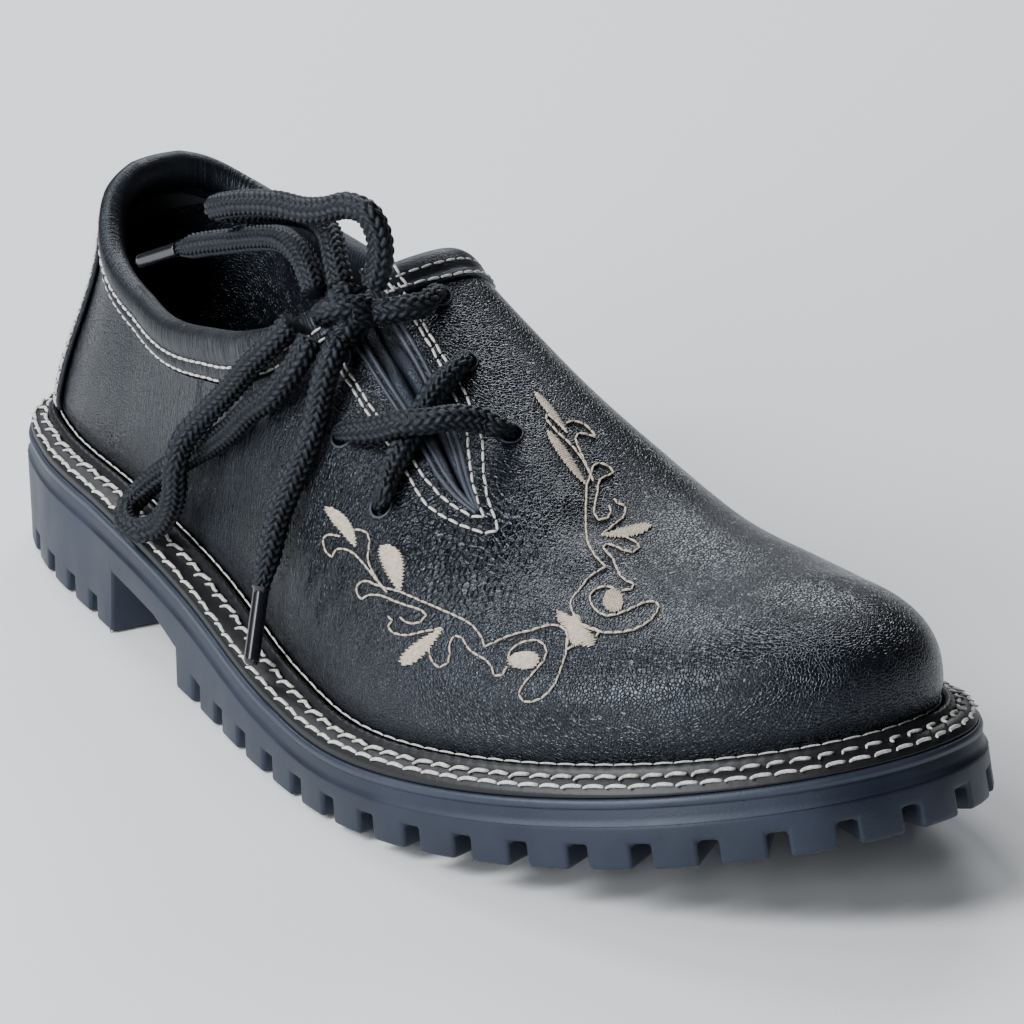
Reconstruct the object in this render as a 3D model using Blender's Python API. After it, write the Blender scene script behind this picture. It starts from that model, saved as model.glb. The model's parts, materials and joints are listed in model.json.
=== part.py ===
"""Side-laced folk shoe for the right foot, standing empty on its sole.

Metres, +Z up, the toe points to -Y and the lateral (outer) side is -X. The
origin is on the floor under the middle of the outsole.

Two surfaces carry everything. The sole pattern is drawn flat and bent up at the
toe by bend(). The last is a fan of girth lines, each rising from the welt to
the ridge of the instep, and last_point() gives any place on it or beside it.
"""
import math
from typing import NamedTuple

import bmesh
import bpy
import numpy as np

# Driving sizes.
LENGTH = 0.300
BALL_WIDTH = 0.1105
INSTEP_HEIGHT = 0.0985
HEEL_HEIGHT = 0.0266
FOREFOOT_THICKNESS = 0.0143
TOE_SPRING = 0.021
SPRING_START = 0.553 * LENGTH
SPRING_POWER = 1.82
HEEL_LENGTH = 0.250 * LENGTH
SIDE_FLARE = 0.0008
SHANK_THICKNESS = 0.0115

LUG_DEPTH = 0.0052
LUG_PITCH = 0.0138
LUG_LENGTH = 0.017
LUG_GAP = 0.0042
STEP_DROP = 0.0046
STEP_DEPTH = 0.0006

WELT_THICKNESS = 0.0033
WELT_REACH = 0.0088
WELT_RIDGE = 0.0019
WELT_RIDGE_WIDTH = 0.0034
FEATHER_TUCK = 0.0012
TUCK_HEIGHT = 0.006

WALL = 0.0022
GAP = 0.0003
INSOLE_THICKNESS = 0.003
BAND_HEIGHT = 0.0085
BAND_PAD = 0.0016
BAND_DEPTH = 0.0046
BAND_SEAT = 0.0009
COUNTER_THICKNESS = 0.0011
TONGUE_THICKNESS = 0.0022
TONGUE_HALF_WIDTH = 0.0125
TONGUE_ROLL = 0.0024
TONGUE_SEAT = 0.0008

HEEL_LEAN_INWARD = 0.0072
HEEL_LEAN_FORWARD = 0.0122
LEAN_HEIGHT = 0.045
HEEL_FAN = 0.113 * LENGTH
TOE_FAN = 0.853 * LENGTH
FAN_SOFTNESS = 0.023 * LENGTH
THROAT = 0.470 * LENGTH
TOE_FULLNESS = 4.3

EYELET_RADIUS = 0.0026
EYELET_CUT = 0.005
LACE_RADIUS = 0.0028
LACE_SQUEEZE = 0.0019
LACE_DIP = 0.0007
LACE_NESTING = 0.0005
KNOT_RADIUS = 0.0046
AGLET_RADIUS = 0.0017

BALL_START = 0.365 * LENGTH
BREAST_SLOPE = 0.001
TOP_MARGIN = 0.012
LUG_ROOT = 0.001
SLIT_CUT = 0.008
OPEN_BLEND = 0.985
COUNTER_TURN = 0.052
TONGUE_START = 0.462 * LENGTH
TONGUE_END = 0.690 * LENGTH

# How finely the solids are cut.
DENSE = 2400
FOOT_STATIONS = 34
GIRTH_ROWS = 9
WELT_STATIONS = 84
INSOLE_STATIONS = 48
COLLAR_STATIONS = 64
COUNTER_COLUMNS = 11
SHANK_PIECES = 3
TONGUE_ROWS = 14
TUBE_SIDES = 8
LACE_SPACING = 0.0042


class OutlinePoint(NamedTuple):
    """Outsole edge: share of the length, share of the ball width, lateral +."""

    along: float
    across: float


class Section(NamedTuple):
    """Last section: ridge height and place, and how full each side is."""

    along: float
    ridge: float
    centre: float
    lateral: float
    medial: float


class Topline(NamedTuple):
    """Height of the collar's edge as a share of the girth line's rise."""

    along: float
    lateral: float
    medial: float


class Reach(NamedTuple):
    """Welt width in front of the upper, as a share of WELT_REACH."""

    along: float
    share: float


class SlitRow(NamedTuple):
    """Side slit: place round the girth line and half its width."""

    along: float
    girth: float
    half_width: float


class CentreLug(NamedTuple):
    """Bar in the middle of the tread: place, length and width as shares."""

    along: float
    long: float
    wide: float


class LaceStop(NamedTuple):
    """A place on a held stretch of lace; rise counts in lace widths above its seat."""

    along: float
    girth: float
    rise: float


OUTLINE = (
    OutlinePoint(0.000, -0.066), OutlinePoint(0.028, -0.242), OutlinePoint(0.100, -0.355),
    OutlinePoint(0.220, -0.373), OutlinePoint(0.380, -0.378), OutlinePoint(0.540, -0.437),
    OutlinePoint(0.690, -0.500), OutlinePoint(0.820, -0.486), OutlinePoint(0.930, -0.396),
    OutlinePoint(0.985, -0.265), OutlinePoint(1.000, -0.097), OutlinePoint(0.980, 0.079),
    OutlinePoint(0.912, 0.274), OutlinePoint(0.800, 0.428), OutlinePoint(0.670, 0.500),
    OutlinePoint(0.530, 0.464), OutlinePoint(0.380, 0.373), OutlinePoint(0.220, 0.296),
    OutlinePoint(0.100, 0.219), OutlinePoint(0.028, 0.115),
)

SECTIONS = (
    Section(0.113, 1.279, -0.052, 2.50, 2.70), Section(0.200, 1.300, -0.067, 2.55, 2.80),
    Section(0.300, 1.239, -0.070, 2.30, 2.75), Section(0.383, 1.168, -0.079, 2.05, 2.65),
    Section(0.470, 1.000, -0.070, 1.95, 2.25), Section(0.550, 0.858, -0.076, 1.90, 2.20),
    Section(0.633, 0.736, -0.077, 1.90, 2.05), Section(0.717, 0.630, -0.085, 2.10, 2.08),
    Section(0.800, 0.596, -0.095, 2.40, 2.55), Section(0.873, 0.602, -0.088, 2.80, 3.00),
)

TOPLINE = (
    Topline(0.030, 0.620, 0.620), Topline(0.093, 0.525, 0.540), Topline(0.167, 0.440, 0.486),
    Topline(0.240, 0.427, 0.490), Topline(0.317, 0.503, 0.538), Topline(0.383, 0.608, 0.618),
    Topline(0.433, 0.769, 0.768), Topline(0.470, 1.000, 1.000),
)

WELT_SHARES = (
    Reach(0.000, 0.80), Reach(0.150, 0.98), Reach(0.400, 1.14), Reach(0.540, 1.04),
    Reach(0.680, 0.88), Reach(0.850, 0.87), Reach(1.000, 0.87),
)

SLIT = (
    SlitRow(0.440, 0.722, 0.0046), SlitRow(0.500, 0.720, 0.0044), SlitRow(0.537, 0.714, 0.0042),
    SlitRow(0.585, 0.692, 0.0030), SlitRow(0.630, 0.657, 0.0016), SlitRow(0.648, 0.650, 0.0006),
)

CENTRE_LUGS = (
    CentreLug(0.125, 0.030, 0.20), CentreLug(0.190, 0.030, 0.22),
    CentreLug(0.460, 0.032, 0.34), CentreLug(0.525, 0.032, 0.40), CentreLug(0.590, 0.032, 0.46),
    CentreLug(0.655, 0.032, 0.48), CentreLug(0.720, 0.032, 0.48), CentreLug(0.785, 0.032, 0.44),
    CentreLug(0.848, 0.028, 0.34),
)

# Collar roll's section: share of its height below the topline, and offset from the last.
COLLAR_PROFILE = (
    (1.00, 0.0002), (0.78, 0.8 * BAND_PAD), (0.45, BAND_PAD), (0.16, 0.75 * BAND_PAD),
    (0.00, -0.0008), (0.10, -0.7 * BAND_DEPTH), (0.45, -BAND_DEPTH), (0.80, -0.95 * BAND_DEPTH),
    (1.00, -0.6 * BAND_DEPTH),
)

TONGUE_ACROSS = np.array([-1.0, -0.6, -0.34, -0.26, -0.17, -0.08, 0.0, 0.08, 0.17, 0.26, 0.34, 0.6, 1.0])

# Eyelets: share of the length, share of the girth line; three on each side of the slit.
EYELETS = (
    (0.503, 0.925), (0.553, 0.868), (0.617, 0.843), (0.484, 0.600), (0.518, 0.503), (0.581, 0.484),
)

UNDER_BAR = (
    LaceStop(0.581, 0.484, 0.0), LaceStop(0.587, 0.512, 0.0), LaceStop(0.581, 0.550, 0.0),
    LaceStop(0.577, 0.608, 0.0), LaceStop(0.572, 0.667, 0.0), LaceStop(0.566, 0.725, 0.0),
    LaceStop(0.562, 0.783, 0.0), LaceStop(0.559, 0.838, 0.0), LaceStop(0.553, 0.868, 0.0),
)
OVER_BAR = (
    LaceStop(0.617, 0.843, 0.0), LaceStop(0.617, 0.812, 0.05), LaceStop(0.608, 0.786, 0.3),
    LaceStop(0.598, 0.733, 0.8), LaceStop(0.589, 0.684, 1.0), LaceStop(0.576, 0.642, 1.0),
    LaceStop(0.556, 0.592, 0.4), LaceStop(0.532, 0.533, 0.05), LaceStop(0.518, 0.503, 0.0),
)
TOP_BAR = (
    LaceStop(0.503, 0.925, 0.0), LaceStop(0.507, 0.890, 0.1), LaceStop(0.510, 0.850, 0.2),
    LaceStop(0.506, 0.800, 0.4),
)

# Hand-laid routes of the bow: two loops and two ends, in metres.
LACE_ROUTES = {
    "lace_loop_a": (
        (-0.0248, 0.0142, 0.0878), (-0.0269, 0.0174, 0.0836), (-0.0290, 0.0230, 0.0776),
        (-0.0303, 0.0302, 0.0697), (-0.0334, 0.0362, 0.0626), (-0.0368, 0.0392, 0.0570),
        (-0.0384, 0.0404, 0.0510), (-0.0372, 0.0430, 0.0442), (-0.0364, 0.0476, 0.0374),
        (-0.0364, 0.0526, 0.0330), (-0.0382, 0.0572, 0.0310), (-0.0374, 0.0624, 0.0312),
        (-0.0342, 0.0662, 0.0328), (-0.0312, 0.0654, 0.0360), (-0.0304, 0.0600, 0.0408),
        (-0.0304, 0.0530, 0.0457), (-0.0305, 0.0462, 0.0501), (-0.0308, 0.0372, 0.0554),
        (-0.0313, 0.0280, 0.0618), (-0.0315, 0.0202, 0.0684), (-0.0306, 0.0136, 0.0734),
        (-0.0289, 0.0098, 0.0786), (-0.0268, 0.0080, 0.0828), (-0.0250, 0.0076, 0.0860),
    ),
    "lace_loop_b": (
        (-0.0176, 0.0064, 0.0965), (-0.0158, 0.0106, 0.0997), (-0.0124, 0.0172, 0.1029),
        (-0.0090, 0.0270, 0.1036), (-0.0070, 0.0390, 0.1018), (-0.0070, 0.0500, 0.0994),
        (-0.0098, 0.0568, 0.0984), (-0.0142, 0.0572, 0.0998), (-0.0170, 0.0500, 0.1028),
        (-0.0176, 0.0400, 0.1060), (-0.0172, 0.0290, 0.1084), (-0.0162, 0.0206, 0.1090),
        (-0.0154, 0.0142, 0.1106), (-0.0142, 0.0082, 0.1128), (-0.0128, 0.0030, 0.1120),
        (-0.0120, 0.0002, 0.1074), (-0.0126, -0.0006, 0.1020), (-0.0139, 0.0002, 0.0972),
    ),
    "lace_end_a": (
        (-0.0205, 0.0119, 0.0943), (-0.0186, 0.0166, 0.0970), (-0.0162, 0.0234, 0.0988),
        (-0.0138, 0.0330, 0.0988), (-0.0120, 0.0450, 0.0956), (-0.0108, 0.0570, 0.0916),
        (-0.0100, 0.0690, 0.0876), (-0.0097, 0.0800, 0.0836),
    ),
    "lace_end_b": (
        (-0.0220, 0.0014, 0.0864), (-0.0246, 0.0004, 0.0838), (-0.0267, -0.0001, 0.0803),
        (-0.0284, -0.0004, 0.0755), (-0.0307, -0.0010, 0.0697), (-0.0331, -0.0008, 0.0645),
        (-0.0360, 0.0004, 0.0577), (-0.0379, 0.0014, 0.0527), (-0.0399, 0.0012, 0.0479),
        (-0.0421, 0.0008, 0.0421), (-0.0441, 0.0002, 0.0368),
    ),
}
AGLETS = {
    "aglet_a": ((-0.0097, 0.0803, 0.0835), (-0.0092, 0.0970, 0.0761)),
    "aglet_b": ((-0.0442, 0.0001, 0.0365), (-0.0496, -0.0034, 0.0224)),
}
KNOT = ((-0.0219, 0.0085, 0.0897), (-0.0181, 0.0047, 0.0909), (-0.0143, 0.0009, 0.0916))


def soft_step(share):
    """Goes from 0 to 1 with flat ends."""
    share = np.clip(share, 0.0, 1.0)
    return share * share * (3.0 - 2.0 * share)


def read_table(rows, column, along):
    """Reads one column of a table at the given lengths, as a smooth curve."""
    places = np.array([row.along for row in rows]) * LENGTH
    values = np.array([getattr(row, column) for row in rows])
    slopes = np.diff(values) / np.diff(places)
    tangents = np.concatenate([slopes[:1], (slopes[:-1] + slopes[1:]) / 2, slopes[-1:]])
    along = np.clip(along, places[0], places[-1])
    index = np.clip(np.searchsorted(places, along, side="right") - 1, 0, len(places) - 2)
    step = places[index + 1] - places[index]
    x = (along - places[index]) / step
    start = (2 * x**3 - 3 * x**2 + 1) * values[index] + (x**3 - 2 * x**2 + x) * step * tangents[index]
    end = (3 * x**2 - 2 * x**3) * values[index + 1] + (x**3 - x**2) * step * tangents[index + 1]
    return start + end


def closed_curve(points, count):
    """Passes a smooth closed curve through the points and spaces it evenly."""
    points = np.asarray(points, float)
    after = np.roll(points, -1, axis=0)
    spans = np.sqrt(np.linalg.norm(after - points, axis=1))
    before = np.roll(spans, 1)
    chord = (after - points) / spans[:, None]
    tangents = (np.roll(chord, 1, axis=0) * spans[:, None] + chord * before[:, None])
    tangents /= (before + spans)[:, None]
    knots = np.concatenate([[0.0], np.cumsum(spans)])
    places = np.linspace(0.0, knots[-1], count, endpoint=False)
    index = np.clip(np.searchsorted(knots, places, side="right") - 1, 0, len(points) - 1)
    following = (index + 1) % len(points)
    span = spans[index][:, None]
    x = (places - knots[index])[:, None] / span
    curve = (2 * x**3 - 3 * x**2 + 1) * points[index] + (x**3 - 2 * x**2 + x) * span * tangents[index]
    curve += (3 * x**2 - 2 * x**3) * points[following] + (x**3 - x**2) * span * tangents[following]
    ring = np.vstack([curve, curve[:1]])
    lengths = np.concatenate([[0.0], np.cumsum(np.linalg.norm(np.diff(ring, axis=0), axis=1))])
    even = np.linspace(0.0, lengths[-1], count, endpoint=False)
    return np.stack([np.interp(even, lengths, ring[:, axis]) for axis in (0, 1)], axis=1)


def outline_frame():
    """Gives the outsole edge as dense points (across, along) with outward normals."""
    edge = closed_curve([(row.across * BALL_WIDTH, row.along * LENGTH) for row in OUTLINE], DENSE)
    tangent = np.roll(edge, -1, axis=0) - np.roll(edge, 1, axis=0)
    normal = np.stack([-tangent[:, 1], tangent[:, 0]], axis=1)
    normal /= np.linalg.norm(normal, axis=1)[:, None]
    if np.sum(normal * (edge - edge.mean(axis=0))) < 0:
        normal = -normal
    return edge, normal


EDGE, EDGE_NORMAL = outline_frame()
EDGE_SHARES = np.arange(DENSE + 1) / DENSE


def around(values, turn):
    """Reads a dense closed list at places given as shares of one turn."""
    ring = np.concatenate([values, values[:1]])
    return np.interp(np.mod(turn, 1.0), EDGE_SHARES, ring)


def flat_place(turn, inset):
    """Gives (across, along) of the sole pattern, a distance inside its edge."""
    across = around(EDGE[:, 0], turn) - inset * around(EDGE_NORMAL[:, 0], turn)
    along = around(EDGE[:, 1], turn) - inset * around(EDGE_NORMAL[:, 1], turn)
    return across, along


def unit_thickness(along):
    """Height of the rubber unit's top above its bottom plane."""
    blend = soft_step((along - 0.2 * LENGTH) / (0.433 * LENGTH))
    return HEEL_HEIGHT + (FOREFOOT_THICKNESS - HEEL_HEIGHT) * blend


def spring(along):
    """Height of the bottom above the floor, and its slope."""
    share = np.clip((along - SPRING_START) / (LENGTH - SPRING_START), 0.0, None)
    slope = TOE_SPRING * SPRING_POWER * share ** (SPRING_POWER - 1) / (LENGTH - SPRING_START)
    return TOE_SPRING * share**SPRING_POWER, slope


def bend(across, along, height):
    """Takes a place in the flat pattern to the bent sole, in world axes."""
    rise, slope = spring(along)
    angle = np.arctan(slope)
    y = LENGTH / 2 - along + height * np.sin(angle)
    return np.stack([-across, y, rise + height * np.cos(angle)], axis=-1)


def sole_place(turn, inset, above_top):
    """A place beside the outsole's edge, at a height above the unit's top."""
    across, along = flat_place(turn, inset)
    return bend(across, along, unit_thickness(along) + above_top)


def feather_inset(along):
    """Distance from the outsole's edge to the foot of the upper."""
    return WELT_REACH * read_table(WELT_SHARES, "share", along)


def foot_line(turn):
    """World place where each girth line leaves the welt."""
    reach = feather_inset(around(EDGE[:, 1], turn))
    return sole_place(turn, reach, WELT_THICKNESS)


FOOT_TURNS = np.arange(DENSE) / DENSE
FOOT_ALONG = LENGTH / 2 - foot_line(FOOT_TURNS)[:, 1]
TOE_TURN = FOOT_TURNS[int(np.argmax(FOOT_ALONG))]


def turn_at(along, lateral):
    """Share of the turn where the foot line passes a length on one side."""
    toe = int(np.argmax(FOOT_ALONG))
    if lateral:
        return np.interp(along, FOOT_ALONG[toe:][::-1], FOOT_TURNS[toe:][::-1])
    return np.interp(along, FOOT_ALONG[:toe + 1], FOOT_TURNS[:toe + 1])


def spine_along(along):
    """Length at which a girth line meets the ridge, gathered at heel and toe."""
    rise = np.log1p(np.exp((along - HEEL_FAN) / FAN_SOFTNESS))
    fall = np.log1p(np.exp((along - TOE_FAN) / FAN_SOFTNESS))
    return HEEL_FAN + FAN_SOFTNESS * (rise - fall)


def girth_frame(turn):
    """Everything about a girth line that does not change along it."""
    foot = foot_line(turn)
    along = LENGTH / 2 - foot[..., 1]
    spine = spine_along(along)
    ridge = np.stack([
        -BALL_WIDTH * read_table(SECTIONS, "centre", spine),
        LENGTH / 2 - spine,
        INSTEP_HEIGHT * read_table(SECTIONS, "ridge", spine),
    ], axis=-1)
    out = foot[..., :2] - ridge[..., :2]
    out_length = np.linalg.norm(out, axis=-1, keepdims=True)
    lateral = 0.5 - 0.5 * out[..., 0] / out_length[..., 0]
    fullness = read_table(SECTIONS, "lateral", spine) * lateral
    fullness += read_table(SECTIONS, "medial", spine) * (1 - lateral)
    toe = np.clip((along - TOE_FAN) / (0.963 * LENGTH - TOE_FAN), 0.0, 1.0)
    fullness = fullness * (1 - toe) + TOE_FULLNESS * toe
    return foot, along, ridge, out, out / out_length, lateral, fullness


def bare_point(turn, girth):
    """World place on the outside of the upper; girth runs from 0 to 1."""
    foot, _, ridge, out, outward, _, fullness = girth_frame(turn)
    angle = girth * math.pi / 2
    height = (ridge[..., 2] - foot[..., 2]) * np.abs(np.sin(angle)) ** (2 / fullness)
    tuck = FEATHER_TUCK * (1 - soft_step(height / TUCK_HEIGHT))
    rear = 1 - np.clip((LENGTH / 2 - ridge[..., 1] - 0.2 * LENGTH) / (0.233 * LENGTH), 0, 1)
    lean = rear * soft_step(height / LEAN_HEIGHT)
    plan = ridge[..., :2] + out * np.cos(angle)[..., None] - outward * tuck[..., None]
    x = plan[..., 0] + HEEL_LEAN_INWARD * lean
    y = plan[..., 1] - HEEL_LEAN_FORWARD * lean * np.clip(outward[..., 1], 0, 1)
    return np.stack([x, y, foot[..., 2] + height], axis=-1)


def ridge_normal(turn):
    """Upward normal of the ridge where a girth line meets it."""
    ridge = girth_frame(turn)[2]
    ahead = INSTEP_HEIGHT * read_table(SECTIONS, "ridge", LENGTH / 2 - ridge[..., 1] + 0.001)
    slope = (ahead - ridge[..., 2]) / 0.001
    normal = np.stack([np.zeros_like(slope), slope, np.ones_like(slope)], axis=-1)
    return normal / np.linalg.norm(normal, axis=-1, keepdims=True)


def last_point(turn, girth, offset=0.0):
    """A place on the last's surface, moved outwards by the offset."""
    turn, girth = np.broadcast_arrays(np.asarray(turn, float), np.asarray(girth, float))
    place = bare_point(turn, girth)
    safe = np.clip(girth, 0.0, 0.985)
    around_step = bare_point(turn + 0.0008, safe) - bare_point(turn - 0.0008, safe)
    upward_step = bare_point(turn, safe + 0.004) - bare_point(turn, np.maximum(safe - 0.004, 0))
    normal = np.cross(upward_step, around_step)
    normal /= np.linalg.norm(normal, axis=-1, keepdims=True) + 1e-12
    near_ridge = soft_step((girth - 0.9) / 0.1)[..., None]
    normal = normal * (1 - near_ridge) + ridge_normal(turn) * near_ridge
    normal /= np.linalg.norm(normal, axis=-1, keepdims=True)
    return place + normal * np.asarray(offset)[..., None]


def last_at(along, girth, offset=0.0, lateral=True):
    """As last_point, at a length measured along the shoe on one side."""
    return last_point(turn_at(np.asarray(along, float), lateral), girth, offset)


def throat_along(drop):
    """Length at which an edge, a drop below the topline, closes on the ridge."""
    return THROAT + 0.88 * drop


def edge_girth(turn, drop):
    """Girth share of an edge that runs a drop below the topline."""
    foot, along, ridge, _, _, lateral, fullness = girth_frame(turn)
    back = TOPLINE[0].along * LENGTH
    shifted = back + (along - back) * (THROAT - back) / (throat_along(drop) - back)
    share = read_table(TOPLINE, "lateral", shifted) * lateral
    share += read_table(TOPLINE, "medial", shifted) * (1 - lateral)
    fade = 1 - soft_step((shifted - 0.333 * LENGTH) / (THROAT - 0.333 * LENGTH))
    share -= drop * fade / (ridge[..., 2] - foot[..., 2])
    return np.arcsin(np.clip(share, 0, 1) ** (fullness / 2)) / (math.pi / 2)


def girth_at_height(turn, height):
    """Girth share at which the last stands a height above the welt."""
    foot, _, ridge, _, _, _, fullness = girth_frame(turn)
    share = height / (ridge[..., 2] - foot[..., 2])
    return np.arcsin(np.clip(share, 0, 1) ** (fullness / 2)) / (math.pi / 2)


def edge_curve(drop, count=1600):
    """Turns, girths and lengths round an edge, from the throat by the lateral side."""
    start = float(turn_at(throat_along(drop), True))
    end = 1.0 + float(turn_at(throat_along(drop), False))
    share = (1 - np.cos(np.linspace(0.0, math.pi, count))) / 2
    turns = start + (end - start) * share
    girths = edge_girth(turns, drop)
    girths[0] = girths[-1] = 1.0
    places = bare_point(turns, girths)
    lengths = np.concatenate([[0.0], np.cumsum(np.linalg.norm(np.diff(places, axis=0), axis=1))])
    return turns, girths, lengths


def along_edge(drop, share):
    """Turn and girth at shares of the way round an edge; it may pass the throat."""
    turns, girths, lengths = edge_curve(drop)
    place = np.mod(share, 1.0) * lengths[-1]
    return np.interp(place, lengths, turns), np.interp(place, lengths, girths)


def share_at_side(drop, along, lateral):
    """Share of the way round an edge at which it passes a length."""
    turns, _, lengths = edge_curve(drop)
    wanted = float(turn_at(along, lateral)) + (0.0 if lateral else 1.0)
    return float(np.interp(wanted, turns, lengths)) / lengths[-1]


def add_object(name, vertices, faces, material, weld=0.00004):
    """Makes a closed, outward-facing mesh object from points and faces."""
    mesh = bpy.data.meshes.new(name)
    mesh.from_pydata([tuple(map(float, point)) for point in vertices], [], faces)
    build = bmesh.new()
    build.from_mesh(mesh)
    bmesh.ops.remove_doubles(build, verts=build.verts, dist=weld)
    bmesh.ops.dissolve_degenerate(build, edges=build.edges, dist=weld / 4)
    bmesh.ops.triangulate(build, faces=build.faces)
    bmesh.ops.recalc_face_normals(build, faces=build.faces)
    build.to_mesh(mesh)
    build.free()
    mesh.shade_smooth()
    mesh.set_sharp_from_angle(angle=math.radians(35))
    thing = bpy.data.objects.new(name, mesh)
    bpy.context.scene.collection.objects.link(thing)
    if material:
        mesh.materials.append(material)
    return thing


def ring_solid(name, rings, material, closed_path=True, **options):
    """Closed solid from section loops; the path is a ring or has two capped ends."""
    rings = np.asarray(rings, float)
    stations, corners = rings.shape[:2]
    vertices = rings.reshape(-1, 3)
    faces = []
    for i in range(stations if closed_path else stations - 1):
        following = (i + 1) % stations
        for j in range(corners):
            k = (j + 1) % corners
            faces.append((i * corners + j, i * corners + k, following * corners + k,
                          following * corners + j))
    if not closed_path:
        faces.append(tuple(range(corners)))
        faces.append(tuple((stations - 1) * corners + j for j in reversed(range(corners))))
    return add_object(name, vertices, faces, material, **options)


def sheet_solid(name, top, bottom, material, **options):
    """Closed solid between two grids of points with the same rows and columns."""
    top = np.asarray(top, float)
    bottom = np.asarray(bottom, float)
    rows, columns = top.shape[:2]
    vertices = np.concatenate([top.reshape(-1, 3), bottom.reshape(-1, 3)])
    under = rows * columns
    faces = []
    for i in range(rows - 1):
        for j in range(columns - 1):
            a, b, c, d = (i * columns + j, i * columns + j + 1,
                          (i + 1) * columns + j + 1, (i + 1) * columns + j)
            faces.append((a, b, c, d))
            faces.append((under + d, under + c, under + b, under + a))
    rim = [j for j in range(columns)]
    rim += [i * columns + columns - 1 for i in range(1, rows)]
    rim += [(rows - 1) * columns + j for j in range(columns - 2, -1, -1)]
    rim += [i * columns for i in range(rows - 2, 0, -1)]
    for a, b in zip(rim, rim[1:] + rim[:1]):
        faces.append((b, a, under + a, under + b))
    return add_object(name, vertices, faces, material, **options)


def cut(target, cutter, name):
    """Takes the cutter's volume away from the target."""
    cutter.hide_render = True
    cutter.display_type = "WIRE"
    modifier = target.modifiers.new(name, "BOOLEAN")
    modifier.operation = "DIFFERENCE"
    modifier.solver = "EXACT"
    modifier.object = cutter


def material(name, colour, roughness, metallic=0.0):
    """Principled material in one colour."""
    finish = bpy.data.materials.new(name)
    finish.use_nodes = True
    shader = finish.node_tree.nodes["Principled BSDF"]
    shader.inputs["Base Color"].default_value = (*colour, 1.0)
    shader.inputs["Roughness"].default_value = roughness
    shader.inputs["Metallic"].default_value = metallic
    return finish


def edge_turn(along, lateral):
    """Share of the turn where the outsole's edge passes a length on one side."""
    toe = int(np.argmax(EDGE[:, 1]))
    if lateral:
        return float(np.interp(along, EDGE[toe:, 1][::-1], FOOT_TURNS[toe:][::-1]))
    return float(np.interp(along, EDGE[:toe + 1, 1], FOOT_TURNS[:toe + 1]))


def tread_stations():
    """Turns round the outsole's edge where lugs and gaps begin, and what they are."""
    length_round = float(np.linalg.norm(np.diff(np.vstack([EDGE, EDGE[:1]]), axis=0), axis=1).sum())
    breast = HEEL_LENGTH + BREAST_SLOPE
    stretches = (
        (edge_turn(HEEL_LENGTH, True) - 1, edge_turn(HEEL_LENGTH, False), True),
        (edge_turn(breast, False), edge_turn(BALL_START, False), False),
        (edge_turn(BALL_START, False), edge_turn(BALL_START, True), True),
        (edge_turn(BALL_START, True), edge_turn(breast, True), False),
    )
    turns, kinds = [], []
    for start, end, lugged in stretches:
        if not lugged:
            turns += [start + (end - start) * i / SHANK_PIECES for i in range(SHANK_PIECES)]
            kinds += ["shank"] * SHANK_PIECES
            if end > 0.5:
                turns.append(end)
                kinds.append("breast")
            continue
        span = (end - start) * length_round
        lugs = max(3, round((span + LUG_GAP) / LUG_PITCH))
        pitch = (span + LUG_GAP) / lugs
        for i in range(lugs):
            first = start + i * pitch / length_round
            turns += [first, first + (pitch - LUG_GAP) / 2 / length_round]
            kinds += ["lug", "lug"]
            if i < lugs - 1:
                turns.append(first + (pitch - LUG_GAP) / length_round)
                kinds.append("gap")
        if start < 0:
            turns.append(end)
            kinds.append("breast")
    return np.array(turns), kinds


def roof_height(along):
    """Underside of the rubber unit between its lugs, above its bottom plane."""
    past_breast = np.clip((along - HEEL_LENGTH) / BREAST_SLOPE, 0.0, 1.0)
    arch = soft_step((BALL_START + 0.055 * LENGTH - along) / (0.09 * LENGTH))
    lift = np.maximum(unit_thickness(along) - SHANK_THICKNESS - LUG_DEPTH, 0.0)
    return LUG_DEPTH + past_breast * arch * lift


def spine_stops():
    """Lengths of the middle line's points, two of them at the heel breast."""
    heel = np.linspace(0.11 * LENGTH, HEEL_LENGTH, 3)
    fore = np.linspace(HEEL_LENGTH + BREAST_SLOPE, 0.875 * LENGTH, 16)
    return np.concatenate([heel, fore])


def spine_across(along):
    """Middle of the sole at a length."""
    medial = around(EDGE[:, 0], [edge_turn(a, False) for a in along])
    lateral = around(EDGE[:, 0], [edge_turn(a, True) for a in along])
    return (medial + lateral) / 2


class Shell:
    """Collects named vertices and faces for one closed mesh."""

    def __init__(self):
        self.vertices = []
        self.faces = []
        self.labels = {}

    def point(self, label, place):
        """Index of a vertex, made the first time its label is used."""
        if label not in self.labels:
            self.labels[label] = len(self.vertices)
            self.vertices.append(place)
        return self.labels[label]

    def fill_to_spine(self, ring, ring_along, spine, spine_along):
        """Joins a closed ring of vertices to a middle line used from both sides."""
        count = len(ring)
        nearest = [int(np.argmin(np.abs(np.asarray(spine_along) - along))) for along in ring_along]
        for i in range(count):
            j = (i + 1) % count
            a, b = nearest[i], nearest[j]
            step = 1 if b >= a else -1
            inner = [spine[k] for k in range(a, b + step, step)]
            self.faces.append((ring[i], ring[j], *reversed(inner)))


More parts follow.
